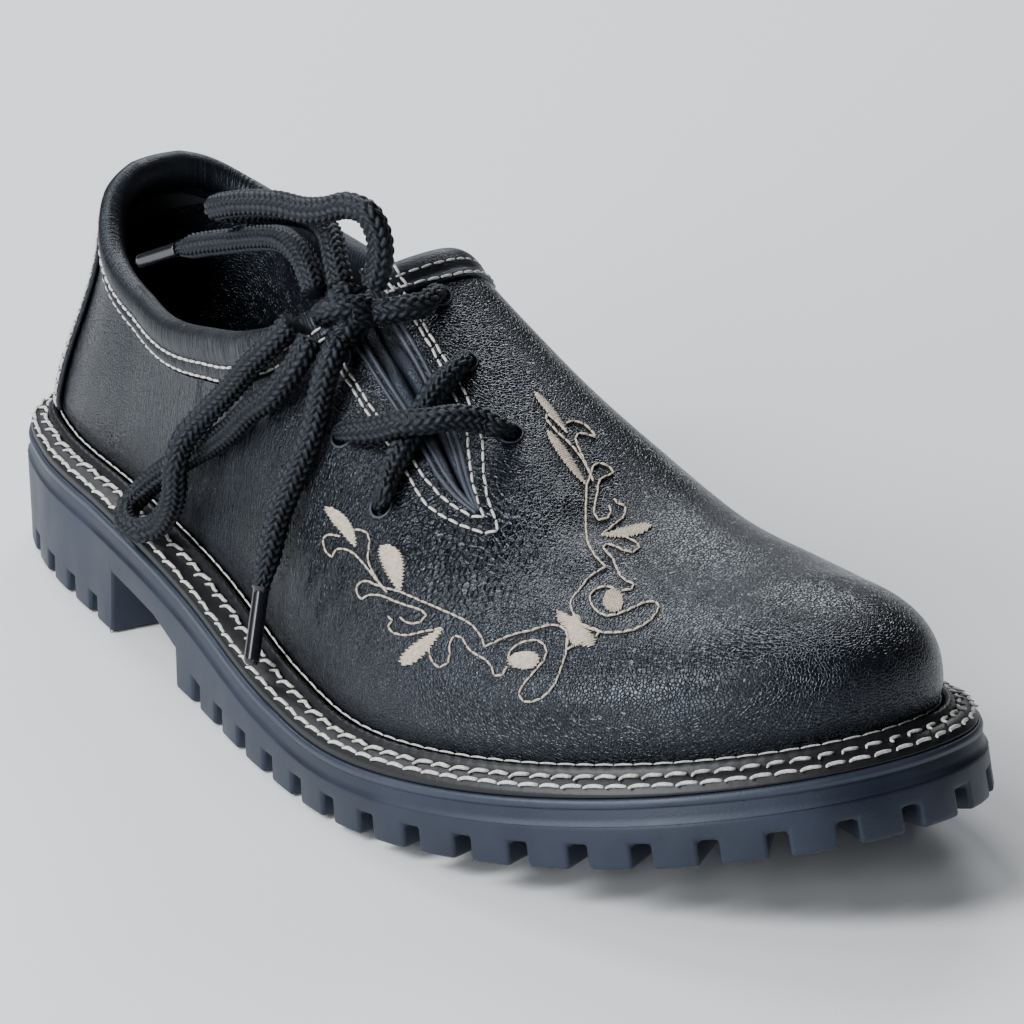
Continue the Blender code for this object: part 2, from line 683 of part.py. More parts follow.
def build_outsole(rubber):
    """One rubber unit: stepped side, heel block, arch and notched lugs."""
    turns, kinds = tread_stations()
    count = len(turns)
    shell = Shell()
    side = (("top", SIDE_FLARE, 0.0), ("step", SIDE_FLARE * 0.6, -STEP_DROP),
            ("ledge", SIDE_FLARE * 0.6 - STEP_DEPTH, -STEP_DROP - STEP_DEPTH))
    edge_along = around(EDGE[:, 1], turns)
    roofs = roof_height(edge_along)

    def side_point(i, row):
        key, inset, height = side[row]
        return shell.point((i, key), sole_place(turns[i], inset, height))

    def under_point(i, level, depth):
        across, along = flat_place(turns[i], depth * LUG_LENGTH)
        height = 0.0 if level == "floor" else roofs[i]
        return shell.point((i, level, depth), bend(across, along, height))

    for i in range(count):
        j = (i + 1) % count
        for row in (0, 1):
            shell.faces.append((side_point(i, row), side_point(j, row),
                                side_point(j, row + 1), side_point(i, row + 1)))
        shell.faces.append((side_point(i, 2), side_point(j, 2),
                            under_point(j, "roof", 0), under_point(i, "roof", 0)))
        path = [("roof", 0), ("roof", 1)]
        if kinds[i] == "lug":
            path = [("roof", 0), ("floor", 0), ("floor", 1), ("roof", 1)]
        for (level, depth), (next_level, next_depth) in zip(path, path[1:]):
            shell.faces.append((under_point(i, level, depth), under_point(j, level, depth),
                                under_point(j, next_level, next_depth),
                                under_point(i, next_level, next_depth)))
        if (kinds[i] == "lug") != (kinds[i - 1] == "lug"):
            shell.faces.append((under_point(i, "roof", 0), under_point(i, "floor", 0),
                                under_point(i, "floor", 1), under_point(i, "roof", 1)))

    stops = spine_stops()
    middle = spine_across(stops)
    for name, ring_inset, heights in (("top", TOP_MARGIN, unit_thickness(stops)),
                                      ("roof", LUG_LENGTH, roof_height(stops))):
        spine = [shell.point((name, "spine", k), bend(middle[k], stops[k], heights[k]))
                 for k in range(len(stops))]
        if name == "roof":
            ring = [under_point(i, "roof", 1) for i in range(count)]
            shell.fill_to_spine(ring, edge_along, spine, stops)
            continue
        ring = [shell.point((i, "margin"), sole_place(turns[i], ring_inset, 0.0))
                for i in range(count)]
        for i in range(count):
            j = (i + 1) % count
            shell.faces.append((side_point(i, 0), side_point(j, 0), ring[j], ring[i]))
        shell.fill_to_spine(ring, edge_along, spine, stops)
    outsole = add_object("outsole", shell.vertices, shell.faces, rubber)
    join_centre_lugs(outsole)
    return outsole


def join_centre_lugs(outsole):
    """Adds the bars down the middle of the tread to the rubber unit."""
    shell = Shell()
    for k, row in enumerate(CENTRE_LUGS):
        middle = row.along * LENGTH
        half_long = row.long * LENGTH / 2
        half_wide = row.wide * BALL_WIDTH / 2
        corners = ((-1, -1), (1, -1), (1, 1), (-1, 1))
        for level in (0, 1):
            for c, (wide, long) in enumerate(corners):
                along = middle + long * half_long
                height = level * (roof_height(along) + LUG_ROOT)
                across = float(spine_across([middle])[0]) + wide * half_wide
                shell.point((k, level, c), bend(across, along, height))
        low = [shell.labels[(k, 0, c)] for c in range(4)]
        high = [shell.labels[(k, 1, c)] for c in range(4)]
        shell.faces += [tuple(reversed(low)), tuple(high)]
        for c in range(4):
            d = (c + 1) % 4
            shell.faces.append((low[c], low[d], high[d], high[c]))
    bars = add_object("centre_lug_bars", shell.vertices, shell.faces, None)
    bars.hide_render = True
    bars.display_type = "WIRE"
    union = outsole.modifiers.new("centre lugs", "BOOLEAN")
    union.operation = "UNION"
    union.solver = "EXACT"
    union.object = bars


def build_welt(leather):
    """Flat strip round the shoe with a rounded ridge against the upper."""
    turns = np.arange(WELT_STATIONS) / WELT_STATIONS
    reach = feather_inset(around(EDGE[:, 1], turns))
    zero = np.zeros_like(turns)
    edge = zero + SIDE_FLARE + GAP
    crown = WELT_THICKNESS + WELT_RIDGE
    profile = (
        (edge, GAP), (edge, WELT_THICKNESS - 0.0005), (edge + 0.0005, WELT_THICKNESS),
        (reach - WELT_RIDGE_WIDTH, WELT_THICKNESS), (reach - 0.8 * WELT_RIDGE_WIDTH, crown - 0.0006),
        (reach - 0.5 * WELT_RIDGE_WIDTH, crown), (reach - 0.2 * WELT_RIDGE_WIDTH, crown - 0.0006),
        (reach - 0.05 * WELT_RIDGE_WIDTH, WELT_THICKNESS), (reach + FEATHER_TUCK - GAP, WELT_THICKNESS * 0.7),
        (reach + FEATHER_TUCK - GAP, GAP),
    )
    rings = np.stack([sole_place(turns, inset, height) for inset, height in profile], axis=1)
    return ring_solid("welt", rings, leather)


def build_insole(leather):
    """Inner sole inside the foot of the upper."""
    turns = np.arange(INSOLE_STATIONS) / INSOLE_STATIONS
    inset = feather_inset(around(EDGE[:, 1], turns)) + FEATHER_TUCK + WALL + GAP
    shell = Shell()
    stops = spine_stops()[::2]
    middle = spine_across(stops)
    along = around(EDGE[:, 1], turns)
    rings = []
    for level, height in (("low", GAP), ("high", GAP + INSOLE_THICKNESS)):
        places = sole_place(turns, inset, height)
        ring = [shell.point((level, i), places[i]) for i in range(INSOLE_STATIONS)]
        heights = unit_thickness(stops) + height
        spine = [shell.point((level, "spine", k), bend(middle[k], stops[k], heights[k]))
                 for k in range(len(stops))]
        shell.fill_to_spine(ring, along, spine, stops)
        rings.append(ring)
    for i in range(INSOLE_STATIONS):
        j = (i + 1) % INSOLE_STATIONS
        shell.faces.append((rings[0][i], rings[0][j], rings[1][j], rings[1][i]))
    return add_object("insole", shell.vertices, shell.faces, leather)


def upper_columns():
    """Girth lines of the upper's mesh: foot turn, top turn, top girth, open flag."""
    drop = BAND_HEIGHT + BAND_SEAT
    lowest, highest = float(FOOT_ALONG.min()), float(FOOT_ALONG.max())
    share = (1 - np.cos(np.linspace(0.0, math.pi, FOOT_STATIONS + 1))) / 2
    stations = lowest + (highest - lowest) * share
    close = throat_along(drop)
    blend_start, blend_end = 0.35 * LENGTH, close + 0.07 * LENGTH
    ridge_start = stations[stations > blend_end][0]
    turns, girths, lengths = edge_curve(drop)
    columns = []
    for lateral in (False, True):
        ordered = stations[:-1] if not lateral else stations[:0:-1]
        side_length = share_at_side(drop, blend_start, lateral) * lengths[-1]
        throat_length = 0.0 if lateral else lengths[-1]
        for along in ordered:
            foot = float(turn_at(along, lateral))
            if along < blend_start:
                columns.append((foot, foot, float(edge_girth(np.array([foot]), drop)[0]), True))
            elif along <= blend_end:
                blend = (along - blend_start) / (blend_end - blend_start) * OPEN_BLEND
                place = side_length + (throat_length - side_length) * blend
                top = float(np.interp(place, lengths, turns))
                girth = float(np.interp(place, lengths, girths))
                columns.append((foot, top, girth, True))
            else:
                blend = (along - ridge_start) / (TOE_FAN - ridge_start)
                spine = max(close + (TOE_FAN - close) * blend, close) if blend < 1 else along
                columns.append((foot, float(turn_at(spine, lateral)), 1.0, False))
    return columns


def column_girths(turn, top):
    """Girth shares of a column's rows: two low ones shape the tuck over the welt."""
    low = [float(girth_at_height(np.array([turn]), height)[0]) for height in (TUCK_HEIGHT / 2, TUCK_HEIGHT)]
    return np.concatenate([[0.0, low[0]], np.linspace(low[1], top, GIRTH_ROWS)])


def unwrapped(turn, near):
    """The same turn, counted so that it lies within half a turn of another."""
    return turn + round(near - turn)


def build_upper(leather):
    """Hollow leather upper, open at the collar, down the side slit and underneath."""
    columns = upper_columns()
    count = len(columns)
    shell = Shell()
    grids = []
    for skin, offset, depth in (("outer", 0.0, 0.0), ("inner", -WALL, WALL)):
        grid = []
        for i, (foot, top, girth, _) in enumerate(columns):
            top = unwrapped(top, foot)
            girths = column_girths(foot, girth)
            turns = foot + (top - foot) * soft_step(girths / girth)
            line = last_point(turns, girths, offset)
            inset = float(feather_inset(around(EDGE[:, 1], foot))) + FEATHER_TUCK + depth
            line[0] = sole_place(foot, inset, WELT_THICKNESS)
            low = sole_place(foot, inset, GAP)
            grid.append([shell.point((skin, i, -1), low)] +
                        [shell.point((skin, i, r), line[r]) for r in range(len(line))])
        grids.append(grid)
    for i in range(count):
        j = (i + 1) % count
        for grid in grids:
            for r in range(len(grid[i]) - 1):
                shell.faces.append((grid[i][r], grid[j][r], grid[j][r + 1], grid[i][r + 1]))
        shell.faces.append((grids[0][i][0], grids[0][j][0], grids[1][j][0], grids[1][i][0]))
        if columns[i][3] or columns[j][3]:
            shell.faces.append((grids[0][i][-1], grids[0][j][-1], grids[1][j][-1], grids[1][i][-1]))
    upper = add_object("upper", shell.vertices, shell.faces, leather, weld=0.0002)
    cut(upper, slit_cutter(), "side slit")
    cut(upper, eyelet_cutter(), "eyelets")
    return upper


def slit_cutter():
    """Wedge of the side slit, from above the collar's edge to its point."""
    along = np.array([row.along for row in SLIT]) * LENGTH
    girth = np.array([row.girth for row in SLIT])
    half = np.array([row.half_width for row in SLIT])
    length = np.linalg.norm(last_at(along, girth + 0.05) - last_at(along, girth - 0.05), axis=1) / 0.1
    rings = []
    for side, offset in ((-1, -SLIT_CUT), (1, -SLIT_CUT), (1, SLIT_CUT), (-1, SLIT_CUT)):
        rings.append(last_at(along, girth + side * half / length, offset))
    return ring_solid("slit_cutter", np.stack(rings, axis=1), None, closed_path=False)


def eyelet_cutter():
    """Six plain punches through the upper, square to its surface."""
    shell = Shell()
    for k, (along, girth) in enumerate(EYELETS):
        low, high = (last_at(along * LENGTH, girth, offset) for offset in (-EYELET_CUT, EYELET_CUT))
        rings = circles(np.array([low, high]), [EYELET_RADIUS] * 2)
        for level in (0, 1):
            for c, place in enumerate(rings[level]):
                shell.point((k, level, c), place)
            shell.faces.append(tuple(shell.labels[(k, level, c)] for c in range(TUBE_SIDES)))
        for c in range(TUBE_SIDES):
            d = (c + 1) % TUBE_SIDES
            shell.faces.append(tuple(shell.labels[key] for key in
                                     ((k, 0, c), (k, 0, d), (k, 1, d), (k, 1, c))))
    return add_object("eyelet_cutter", shell.vertices, shell.faces, None)


def circles(path, radii):
    """Rings of points round a path, carried along it without twisting."""
    tangents = np.gradient(path, axis=0)
    tangents /= np.linalg.norm(tangents, axis=1, keepdims=True)
    side = np.cross(tangents[0], (0.0, 0.0, 1.0))
    if np.linalg.norm(side) < 0.3:
        side = np.cross(tangents[0], (0.0, 1.0, 0.0))
    turns = np.arange(TUBE_SIDES) * 2 * math.pi / TUBE_SIDES
    rings = []
    for place, tangent, radius in zip(path, tangents, radii):
        side = side - tangent * np.dot(side, tangent)
        side /= np.linalg.norm(side)
        other = np.cross(tangent, side)
        rings.append(place + radius * (np.cos(turns)[:, None] * side + np.sin(turns)[:, None] * other))
    return np.array(rings)


def smooth_route(points, spacing):
    """Points of even spacing on a smooth curve through the given ones."""
    points = np.asarray(points, float)
    spans = np.sqrt(np.linalg.norm(np.diff(points, axis=0), axis=1))
    chords = np.diff(points, axis=0) / spans[:, None]
    inner = (chords[:-1] * spans[1:, None] + chords[1:] * spans[:-1, None]) / (spans[:-1] + spans[1:])[:, None]
    tangents = np.vstack([chords[:1], inner, chords[-1:]])
    x = np.linspace(0.0, 1.0, 20, endpoint=False)[:, None]
    runs = []
    for i, span in enumerate(spans):
        run = (2 * x**3 - 3 * x**2 + 1) * points[i] + (x**3 - 2 * x**2 + x) * span * tangents[i]
        runs.append(run + (3 * x**2 - 2 * x**3) * points[i + 1] + (x**3 - x**2) * span * tangents[i + 1])
    dense = np.vstack(runs + [points[-1:]])
    lengths = np.concatenate([[0.0], np.cumsum(np.linalg.norm(np.diff(dense, axis=0), axis=1))])
    even = np.linspace(0.0, lengths[-1], max(2, round(lengths[-1] / spacing) + 1))
    return np.stack([np.interp(even, lengths, dense[:, axis]) for axis in range(3)], axis=1)


def bar_path(stops, both_ends=True):
    """Route of a held stretch of lace, dipping into the eyelets at its ends."""
    seat = LACE_RADIUS + GAP
    places = [last_at(row.along * LENGTH, row.girth, seat + row.rise * (2 * LACE_RADIUS - LACE_NESTING))
              for row in stops]
    ends = (0, -1) if both_ends else (0,)
    for end in ends:
        hole = last_at(stops[end].along * LENGTH, stops[end].girth, -LACE_DIP)
        mouth = last_at(stops[end].along * LENGTH, stops[end].girth, LACE_RADIUS * 0.6)
        places[end] = mouth
        places = [hole] + places if end == 0 else places + [hole]
    return np.array(places)


def bar_rings(stops, both_ends=True):
    """Rings of a held stretch of lace, squeezed where it enters the eyelets."""
    path = smooth_route(bar_path(stops, both_ends), LACE_SPACING / 2)
    from_end = np.linalg.norm(path - path[0], axis=1)
    if both_ends:
        from_end = np.minimum(from_end, np.linalg.norm(path - path[-1], axis=1))
    share = soft_step(from_end / (2.2 * LACE_RADIUS))
    return circles(path, LACE_SQUEEZE + (LACE_RADIUS - LACE_SQUEEZE) * share)


def build_lace_bars(cotton):
    """The crossing over the tongue: two stretches of lace pressed into one solid."""
    bars = ring_solid("lace_bars", bar_rings(UNDER_BAR), cotton, closed_path=False)
    over = ring_solid("lace_over_bar", bar_rings(OVER_BAR), None, closed_path=False)
    over.hide_render = True
    over.display_type = "WIRE"
    union = bars.modifiers.new("crossing", "BOOLEAN")
    union.operation = "UNION"
    union.solver = "EXACT"
    union.object = over
    return ring_solid("lace_bar_top", bar_rings(TOP_BAR, both_ends=False), cotton, closed_path=False)


def build_knot(cotton):
    """The bow's knot as one plump solid over the top eyelet of the lateral side."""
    path = smooth_route(KNOT, LACE_SPACING / 3)
    share = np.linspace(-1.0, 1.0, len(path))
    radii = KNOT_RADIUS * np.sqrt(1 - 0.5 * share**4)
    return ring_solid("lace_knot", circles(path, radii), cotton, closed_path=False)


def build_cord(name, points, radius, material):
    """Round cord along a route, as a curve with filled ends."""
    curve = bpy.data.curves.new(name, "CURVE")
    curve.dimensions = "3D"
    curve.bevel_depth = radius
    curve.bevel_resolution = 2
    curve.use_fill_caps = True
    curve.materials.append(material)
    line = curve.splines.new("POLY")
    line.points.add(len(points) - 1)
    for spot, place in zip(line.points, points):
        spot.co = (*map(float, place), 1.0)
    cord = bpy.data.objects.new(name, curve)
    bpy.context.scene.collection.objects.link(cord)
    return cord


def build_collar(leather):
    """Padded roll along the topline, open at the side slit."""
    start = share_at_slit(1)
    end = 1.0 + share_at_slit(-1)
    shares = np.linspace(start, end, COLLAR_STATIONS)
    rings = []
    for drop_share, offset in COLLAR_PROFILE:
        turns, girths = along_edge(drop_share * BAND_HEIGHT, shares)
        rings.append(last_point(turns, girths, offset))
    return ring_solid("collar_band", np.stack(rings, axis=1), leather, closed_path=False)


def share_at_slit(side):
    """Share round the topline where it meets the slit's lateral (+1) or medial edge."""
    turns, girths, lengths = edge_curve(0.5 * BAND_HEIGHT)
    places = bare_point(turns, girths)
    row = SLIT[0]
    nearby = last_at(row.along * LENGTH, row.girth)
    half = len(lengths) // 2
    distance = np.linalg.norm(places[:half] - nearby, axis=1)
    middle = lengths[int(np.argmin(distance))]
    return float((middle + side * (row.half_width + GAP)) / lengths[-1])


def build_counter(leather):
    """Heel stiffener panel outside the back of the upper."""
    turns = np.linspace(-COUNTER_TURN, COUNTER_TURN, COUNTER_COLUMNS)
    grids = []
    for offset in (GAP + COUNTER_THICKNESS, GAP):
        lines = []
        for turn in turns:
            top = float(edge_girth(np.array([turn]), BAND_HEIGHT + GAP)[0])
            girths = column_girths(turn, top)[1:]
            lines.append(last_point(turn, girths, offset))
        grids.append(np.array(lines))
    return sheet_solid("heel_counter", grids[0], grids[1], leather)


def build_tongue(leather):
    """Bellows tongue under the side slit, with two soft rolls showing in it."""
    along = np.linspace(TONGUE_START, TONGUE_END, TONGUE_ROWS)
    girth = np.interp(along, [row.along * LENGTH for row in SLIT], [row.girth for row in SLIT])
    half = np.interp(along, [row.along * LENGTH for row in SLIT], [row.half_width for row in SLIT])
    length = np.linalg.norm(last_at(along, girth + 0.05) - last_at(along, girth - 0.05), axis=1) / 0.1
    grids = []
    for skin in (0, 1):
        lines = []
        for k in range(TONGUE_ROWS):
            places = TONGUE_ACROSS * TONGUE_HALF_WIDTH
            inside = np.clip(half[k] - TONGUE_SEAT, 0.0, None)
            roll = np.zeros_like(places)
            if inside > 0.0008:
                share = np.clip(np.abs(places) / inside, 0, 1)
                roll = TONGUE_ROLL * np.sqrt(np.clip(1 - (2 * share - 1) ** 2, 0, 1)) * (share < 1)
                roll *= min(1.0, inside / 0.003)
            under_band = soft_step((along[k] - throat_along(BAND_HEIGHT)) / 0.012)
            depth = WALL + TONGUE_SEAT + (BAND_DEPTH - WALL) * (1 - under_band)
            offset = -depth + roll - skin * (TONGUE_THICKNESS + roll * 0.6)
            lines.append(last_at(np.full_like(places, along[k]), girth[k] + places / length[k], offset))
        grids.append(np.array(lines))
    return sheet_solid("tongue", grids[0], grids[1], leather)


def main():
    """Builds every piece."""
    for thing in list(bpy.data.objects):
        bpy.data.objects.remove(thing)
    rubber = material("blue black rubber", (0.030, 0.036, 0.055), 0.55)
    leather = material("black leather", (0.012, 0.013, 0.017), 0.38)
    welt_leather = material("welt leather", (0.014, 0.014, 0.016), 0.5)
    lining = material("dark lining", (0.018, 0.018, 0.020), 0.7)
    cotton = material("black braid", (0.010, 0.010, 0.011), 0.8)
    sleeve = material("aglet sleeve", (0.020, 0.020, 0.022), 0.2)
    build_outsole(rubber)
    build_welt(welt_leather)
    build_insole(lining)
    build_upper(leather)
    build_collar(leather)
    build_counter(leather)
    build_tongue(leather)
    build_lace_bars(cotton)
    build_knot(cotton)
    for name, route in LACE_ROUTES.items():
        build_cord(name, smooth_route(route, LACE_SPACING), LACE_RADIUS, cotton)
    for name, route in AGLETS.items():
        build_cord(name, route, AGLET_RADIUS, sleeve)


if __name__ == "__main__":
    main()
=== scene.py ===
"""Looks of a side-laced folk shoe for the right foot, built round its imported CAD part.

Metres, +Z up, the toe points to -Y and the lateral (outer) side is -X. The upper,
its overlays and its stitching all read the same last, so that they sit on each other.
"""
from __future__ import annotations

import json
import logging
import math
from collections.abc import Callable, Sequence
from dataclasses import dataclass
from enum import Enum

import bmesh
import bpy
import numpy as np
from mathutils import Matrix, Vector, noise

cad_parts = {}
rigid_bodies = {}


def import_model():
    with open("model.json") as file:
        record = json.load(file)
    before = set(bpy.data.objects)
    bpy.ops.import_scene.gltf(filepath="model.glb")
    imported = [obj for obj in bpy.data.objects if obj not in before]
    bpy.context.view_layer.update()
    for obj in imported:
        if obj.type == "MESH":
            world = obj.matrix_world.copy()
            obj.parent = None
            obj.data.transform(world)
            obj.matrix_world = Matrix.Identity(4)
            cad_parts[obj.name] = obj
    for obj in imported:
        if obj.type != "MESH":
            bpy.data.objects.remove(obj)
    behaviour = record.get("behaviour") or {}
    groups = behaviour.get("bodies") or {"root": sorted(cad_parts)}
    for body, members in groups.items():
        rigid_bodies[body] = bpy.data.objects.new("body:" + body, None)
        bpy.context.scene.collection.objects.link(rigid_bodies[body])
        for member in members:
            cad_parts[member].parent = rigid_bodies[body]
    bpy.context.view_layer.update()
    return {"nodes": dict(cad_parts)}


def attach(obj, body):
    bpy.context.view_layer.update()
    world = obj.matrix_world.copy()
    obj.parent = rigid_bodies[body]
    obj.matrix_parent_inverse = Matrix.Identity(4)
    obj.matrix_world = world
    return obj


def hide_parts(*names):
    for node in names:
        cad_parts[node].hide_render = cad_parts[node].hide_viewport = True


LOG = logging.getLogger("folk_shoe")

LENGTH = 0.300
BALL_WIDTH = 0.1105
INSTEP_HEIGHT = 0.0985
HEEL_HEIGHT = 0.0266
FOREFOOT_THICKNESS = 0.0143
TOE_SPRING = 0.021
SPRING_START = 0.553 * LENGTH
SPRING_POWER = 1.82
SIDE_FLARE = 0.0008

WELT_THICKNESS = 0.0033
WELT_EDGE_DROP = 0.0009
WELT_TOE_DROP = 0.0012
WELT_TOE_REACH = 0.14
WELT_SLOPE_SHARE = 0.6
WELT_REACH = 0.0088
WELT_RIDGE = 0.0019
RIDGE_LOOK = 0.0028
FEATHER_TUCK = 0.0012
TUCK_HEIGHT = 0.006

WALL = 0.0022
GAP = 0.0003
BAND_HEIGHT = 0.0085
BAND_PAD = 0.0016
BAND_DEPTH = 0.0046
BAND_SEAT = 0.0009
COUNTER_THICKNESS = 0.0011
COUNTER_TURN = 0.052
TONGUE_THICKNESS = 0.0022
TONGUE_HALF_WIDTH = 0.0125
TONGUE_SEAT = 0.0008
TONGUE_START = 0.462 * LENGTH
TONGUE_END = 0.690 * LENGTH

HEEL_LEAN_INWARD = 0.0072
HEEL_LEAN_FORWARD = 0.0122
LEAN_HEIGHT = 0.045
HEEL_FAN = 0.113 * LENGTH
TOE_FAN = 0.853 * LENGTH
FAN_SOFTNESS = 0.023 * LENGTH
THROAT = 0.470 * LENGTH
TOE_FULLNESS = 4.3
OPEN_BLEND = 0.985

EYELET_RADIUS = 0.0026
LACE_RADIUS = 0.0028
LACE_DIP = 0.0007
LACE_NESTING = 0.0005
AGLET_RADIUS = 0.0017
DENSE = 2400

OUTLINE = (
    (0.000, -0.066), (0.028, -0.242), (0.100, -0.355), (0.220, -0.373), (0.380, -0.378),
    (0.540, -0.437), (0.690, -0.500), (0.820, -0.486), (0.930, -0.396), (0.985, -0.265),
    (1.000, -0.097), (0.980, 0.079), (0.912, 0.274), (0.800, 0.428), (0.670, 0.500),
    (0.530, 0.464), (0.380, 0.373), (0.220, 0.296), (0.100, 0.219), (0.028, 0.115),
)
# Last sections: along, ridge height, ridge place across, lateral and medial fullness.
SECTIONS = (
    (0.113, 1.279, -0.052, 2.50, 2.70), (0.200, 1.300, -0.067, 2.55, 2.80),
    (0.300, 1.239, -0.070, 2.30, 2.75), (0.383, 1.168, -0.079, 2.05, 2.65),
    (0.470, 1.000, -0.070, 1.95, 2.25), (0.550, 0.858, -0.076, 1.90, 2.20),
    (0.633, 0.736, -0.077, 1.90, 2.05), (0.717, 0.630, -0.085, 2.10, 2.08),
    (0.800, 0.596, -0.095, 2.40, 2.55), (0.873, 0.602, -0.088, 2.80, 3.00),
)
# Collar's edge as a share of the girth line's rise: along, lateral, medial.
TOPLINE = (
    (0.030, 0.620, 0.620), (0.093, 0.525, 0.540), (0.167, 0.440, 0.486), (0.240, 0.427, 0.490),
    (0.317, 0.503, 0.538), (0.383, 0.608, 0.618), (0.433, 0.769, 0.768), (0.470, 1.000, 1.000),
)
WELT_SHARES = (
    (0.000, 0.80), (0.150, 0.98), (0.400, 1.14), (0.540, 1.04), (0.680, 0.88), (0.850, 0.87),
    (1.000, 0.87),
)
# Side slit: along, girth, half width in metres.
SLIT = (
    (0.440, 0.722, 0.0046), (0.500, 0.720, 0.0044), (0.537, 0.714, 0.0042),
    (0.585, 0.692, 0.0030), (0.630, 0.657, 0.0016), (0.648, 0.650, 0.0006),
)
EYELETS = (
    (0.503, 0.925), (0.553, 0.868), (0.617, 0.843), (0.484, 0.600), (0.518, 0.503), (0.581, 0.484),
)
# Held stretches of lace: along, girth, rise in lace widths above the seat.
UNDER_BAR = (
    (0.581, 0.484, 0.0), (0.587, 0.512, 0.0), (0.581, 0.550, 0.0), (0.577, 0.608, 0.0),
    (0.572, 0.667, 0.0), (0.566, 0.725, 0.0), (0.562, 0.783, 0.0), (0.559, 0.838, 0.0),
    (0.553, 0.868, 0.0),
)
OVER_BAR = (
    (0.617, 0.843, 0.0), (0.617, 0.812, 0.05), (0.608, 0.786, 0.3), (0.598, 0.733, 0.8),
    (0.589, 0.684, 1.0), (0.576, 0.642, 1.0), (0.556, 0.592, 0.4), (0.532, 0.533, 0.05),
    (0.518, 0.503, 0.0),
)
TOP_BAR = (
    (0.503, 0.925, 0.0), (0.507, 0.890, 0.1), (0.510, 0.850, 0.2), (0.506, 0.800, 0.4),
)
COLLAR_PROFILE = (
    (1.00, 0.0003), (0.98, 0.0009), (0.90, 0.0010), (0.80, 0.0009), (0.75, 0.0007), (0.70, 0.0009),
    (0.58, 0.85 * BAND_PAD), (0.40, BAND_PAD), (0.18, 0.75 * BAND_PAD), (0.00, -0.0008),
    (0.10, -0.7 * BAND_DEPTH), (0.45, -BAND_DEPTH), (0.80, -0.95 * BAND_DEPTH),
    (1.00, -0.6 * BAND_DEPTH),
)

# The bow's routes, as in the part's source.
LACE_ROUTES = {
    "lace_loop_a": (
        (-0.0248, 0.0142, 0.0878), (-0.0269, 0.0174, 0.0836), (-0.0290, 0.0230, 0.0776),
        (-0.0303, 0.0302, 0.0697), (-0.0334, 0.0362, 0.0626), (-0.0368, 0.0392, 0.0570),
        (-0.0384, 0.0404, 0.0510), (-0.0372, 0.0430, 0.0442), (-0.0364, 0.0476, 0.0374),
        (-0.0364, 0.0526, 0.0330), (-0.0382, 0.0572, 0.0310), (-0.0374, 0.0624, 0.0312),
        (-0.0342, 0.0662, 0.0328), (-0.0312, 0.0654, 0.0360), (-0.0304, 0.0600, 0.0408),
        (-0.0304, 0.0530, 0.0457), (-0.0305, 0.0462, 0.0501), (-0.0308, 0.0372, 0.0554),
        (-0.0313, 0.0280, 0.0618), (-0.0315, 0.0202, 0.0684), (-0.0306, 0.0136, 0.0734),
        (-0.0289, 0.0098, 0.0786), (-0.0268, 0.0080, 0.0828), (-0.0250, 0.0076, 0.0860),
    ),
    "lace_loop_b": (
        (-0.0176, 0.0064, 0.0965), (-0.0158, 0.0106, 0.0997), (-0.0124, 0.0172, 0.1029),
        (-0.0090, 0.0270, 0.1036), (-0.0070, 0.0390, 0.1018), (-0.0070, 0.0500, 0.0994),
        (-0.0098, 0.0568, 0.0984), (-0.0142, 0.0572, 0.0998), (-0.0170, 0.0500, 0.1028),
        (-0.0176, 0.0400, 0.1060), (-0.0172, 0.0290, 0.1084), (-0.0162, 0.0206, 0.1090),
        (-0.0154, 0.0142, 0.1106), (-0.0142, 0.0082, 0.1128), (-0.0128, 0.0030, 0.1120),
        (-0.0120, 0.0002, 0.1074), (-0.0126, -0.0006, 0.1020), (-0.0139, 0.0002, 0.0972),
    ),
    "lace_end_a": (
        (-0.0205, 0.0119, 0.0943), (-0.0186, 0.0166, 0.0970), (-0.0162, 0.0234, 0.0988),
        (-0.0138, 0.0330, 0.0988), (-0.0120, 0.0450, 0.0956), (-0.0108, 0.0570, 0.0916),
        (-0.0100, 0.0690, 0.0876), (-0.0097, 0.0800, 0.0836),
    ),
    "lace_end_b": (
        (-0.0220, 0.0014, 0.0864), (-0.0246, 0.0004, 0.0838), (-0.0267, -0.0001, 0.0803),
        (-0.0284, -0.0004, 0.0755), (-0.0307, -0.0010, 0.0697), (-0.0331, -0.0008, 0.0645),
        (-0.0360, 0.0004, 0.0577), (-0.0379, 0.0014, 0.0527), (-0.0399, 0.0012, 0.0479),
        (-0.0421, 0.0008, 0.0421), (-0.0441, 0.0002, 0.0368),
    ),
}
KNOT_CENTRE = (-0.0181, 0.0047, 0.0909)
AGLET_ROUTES = {
    "aglet_a": ((-0.0097, 0.0803, 0.0835), (-0.0092, 0.0970, 0.0761)),
    "aglet_b": ((-0.0442, 0.0001, 0.0365), (-0.0496, -0.0034, 0.0224)),
}
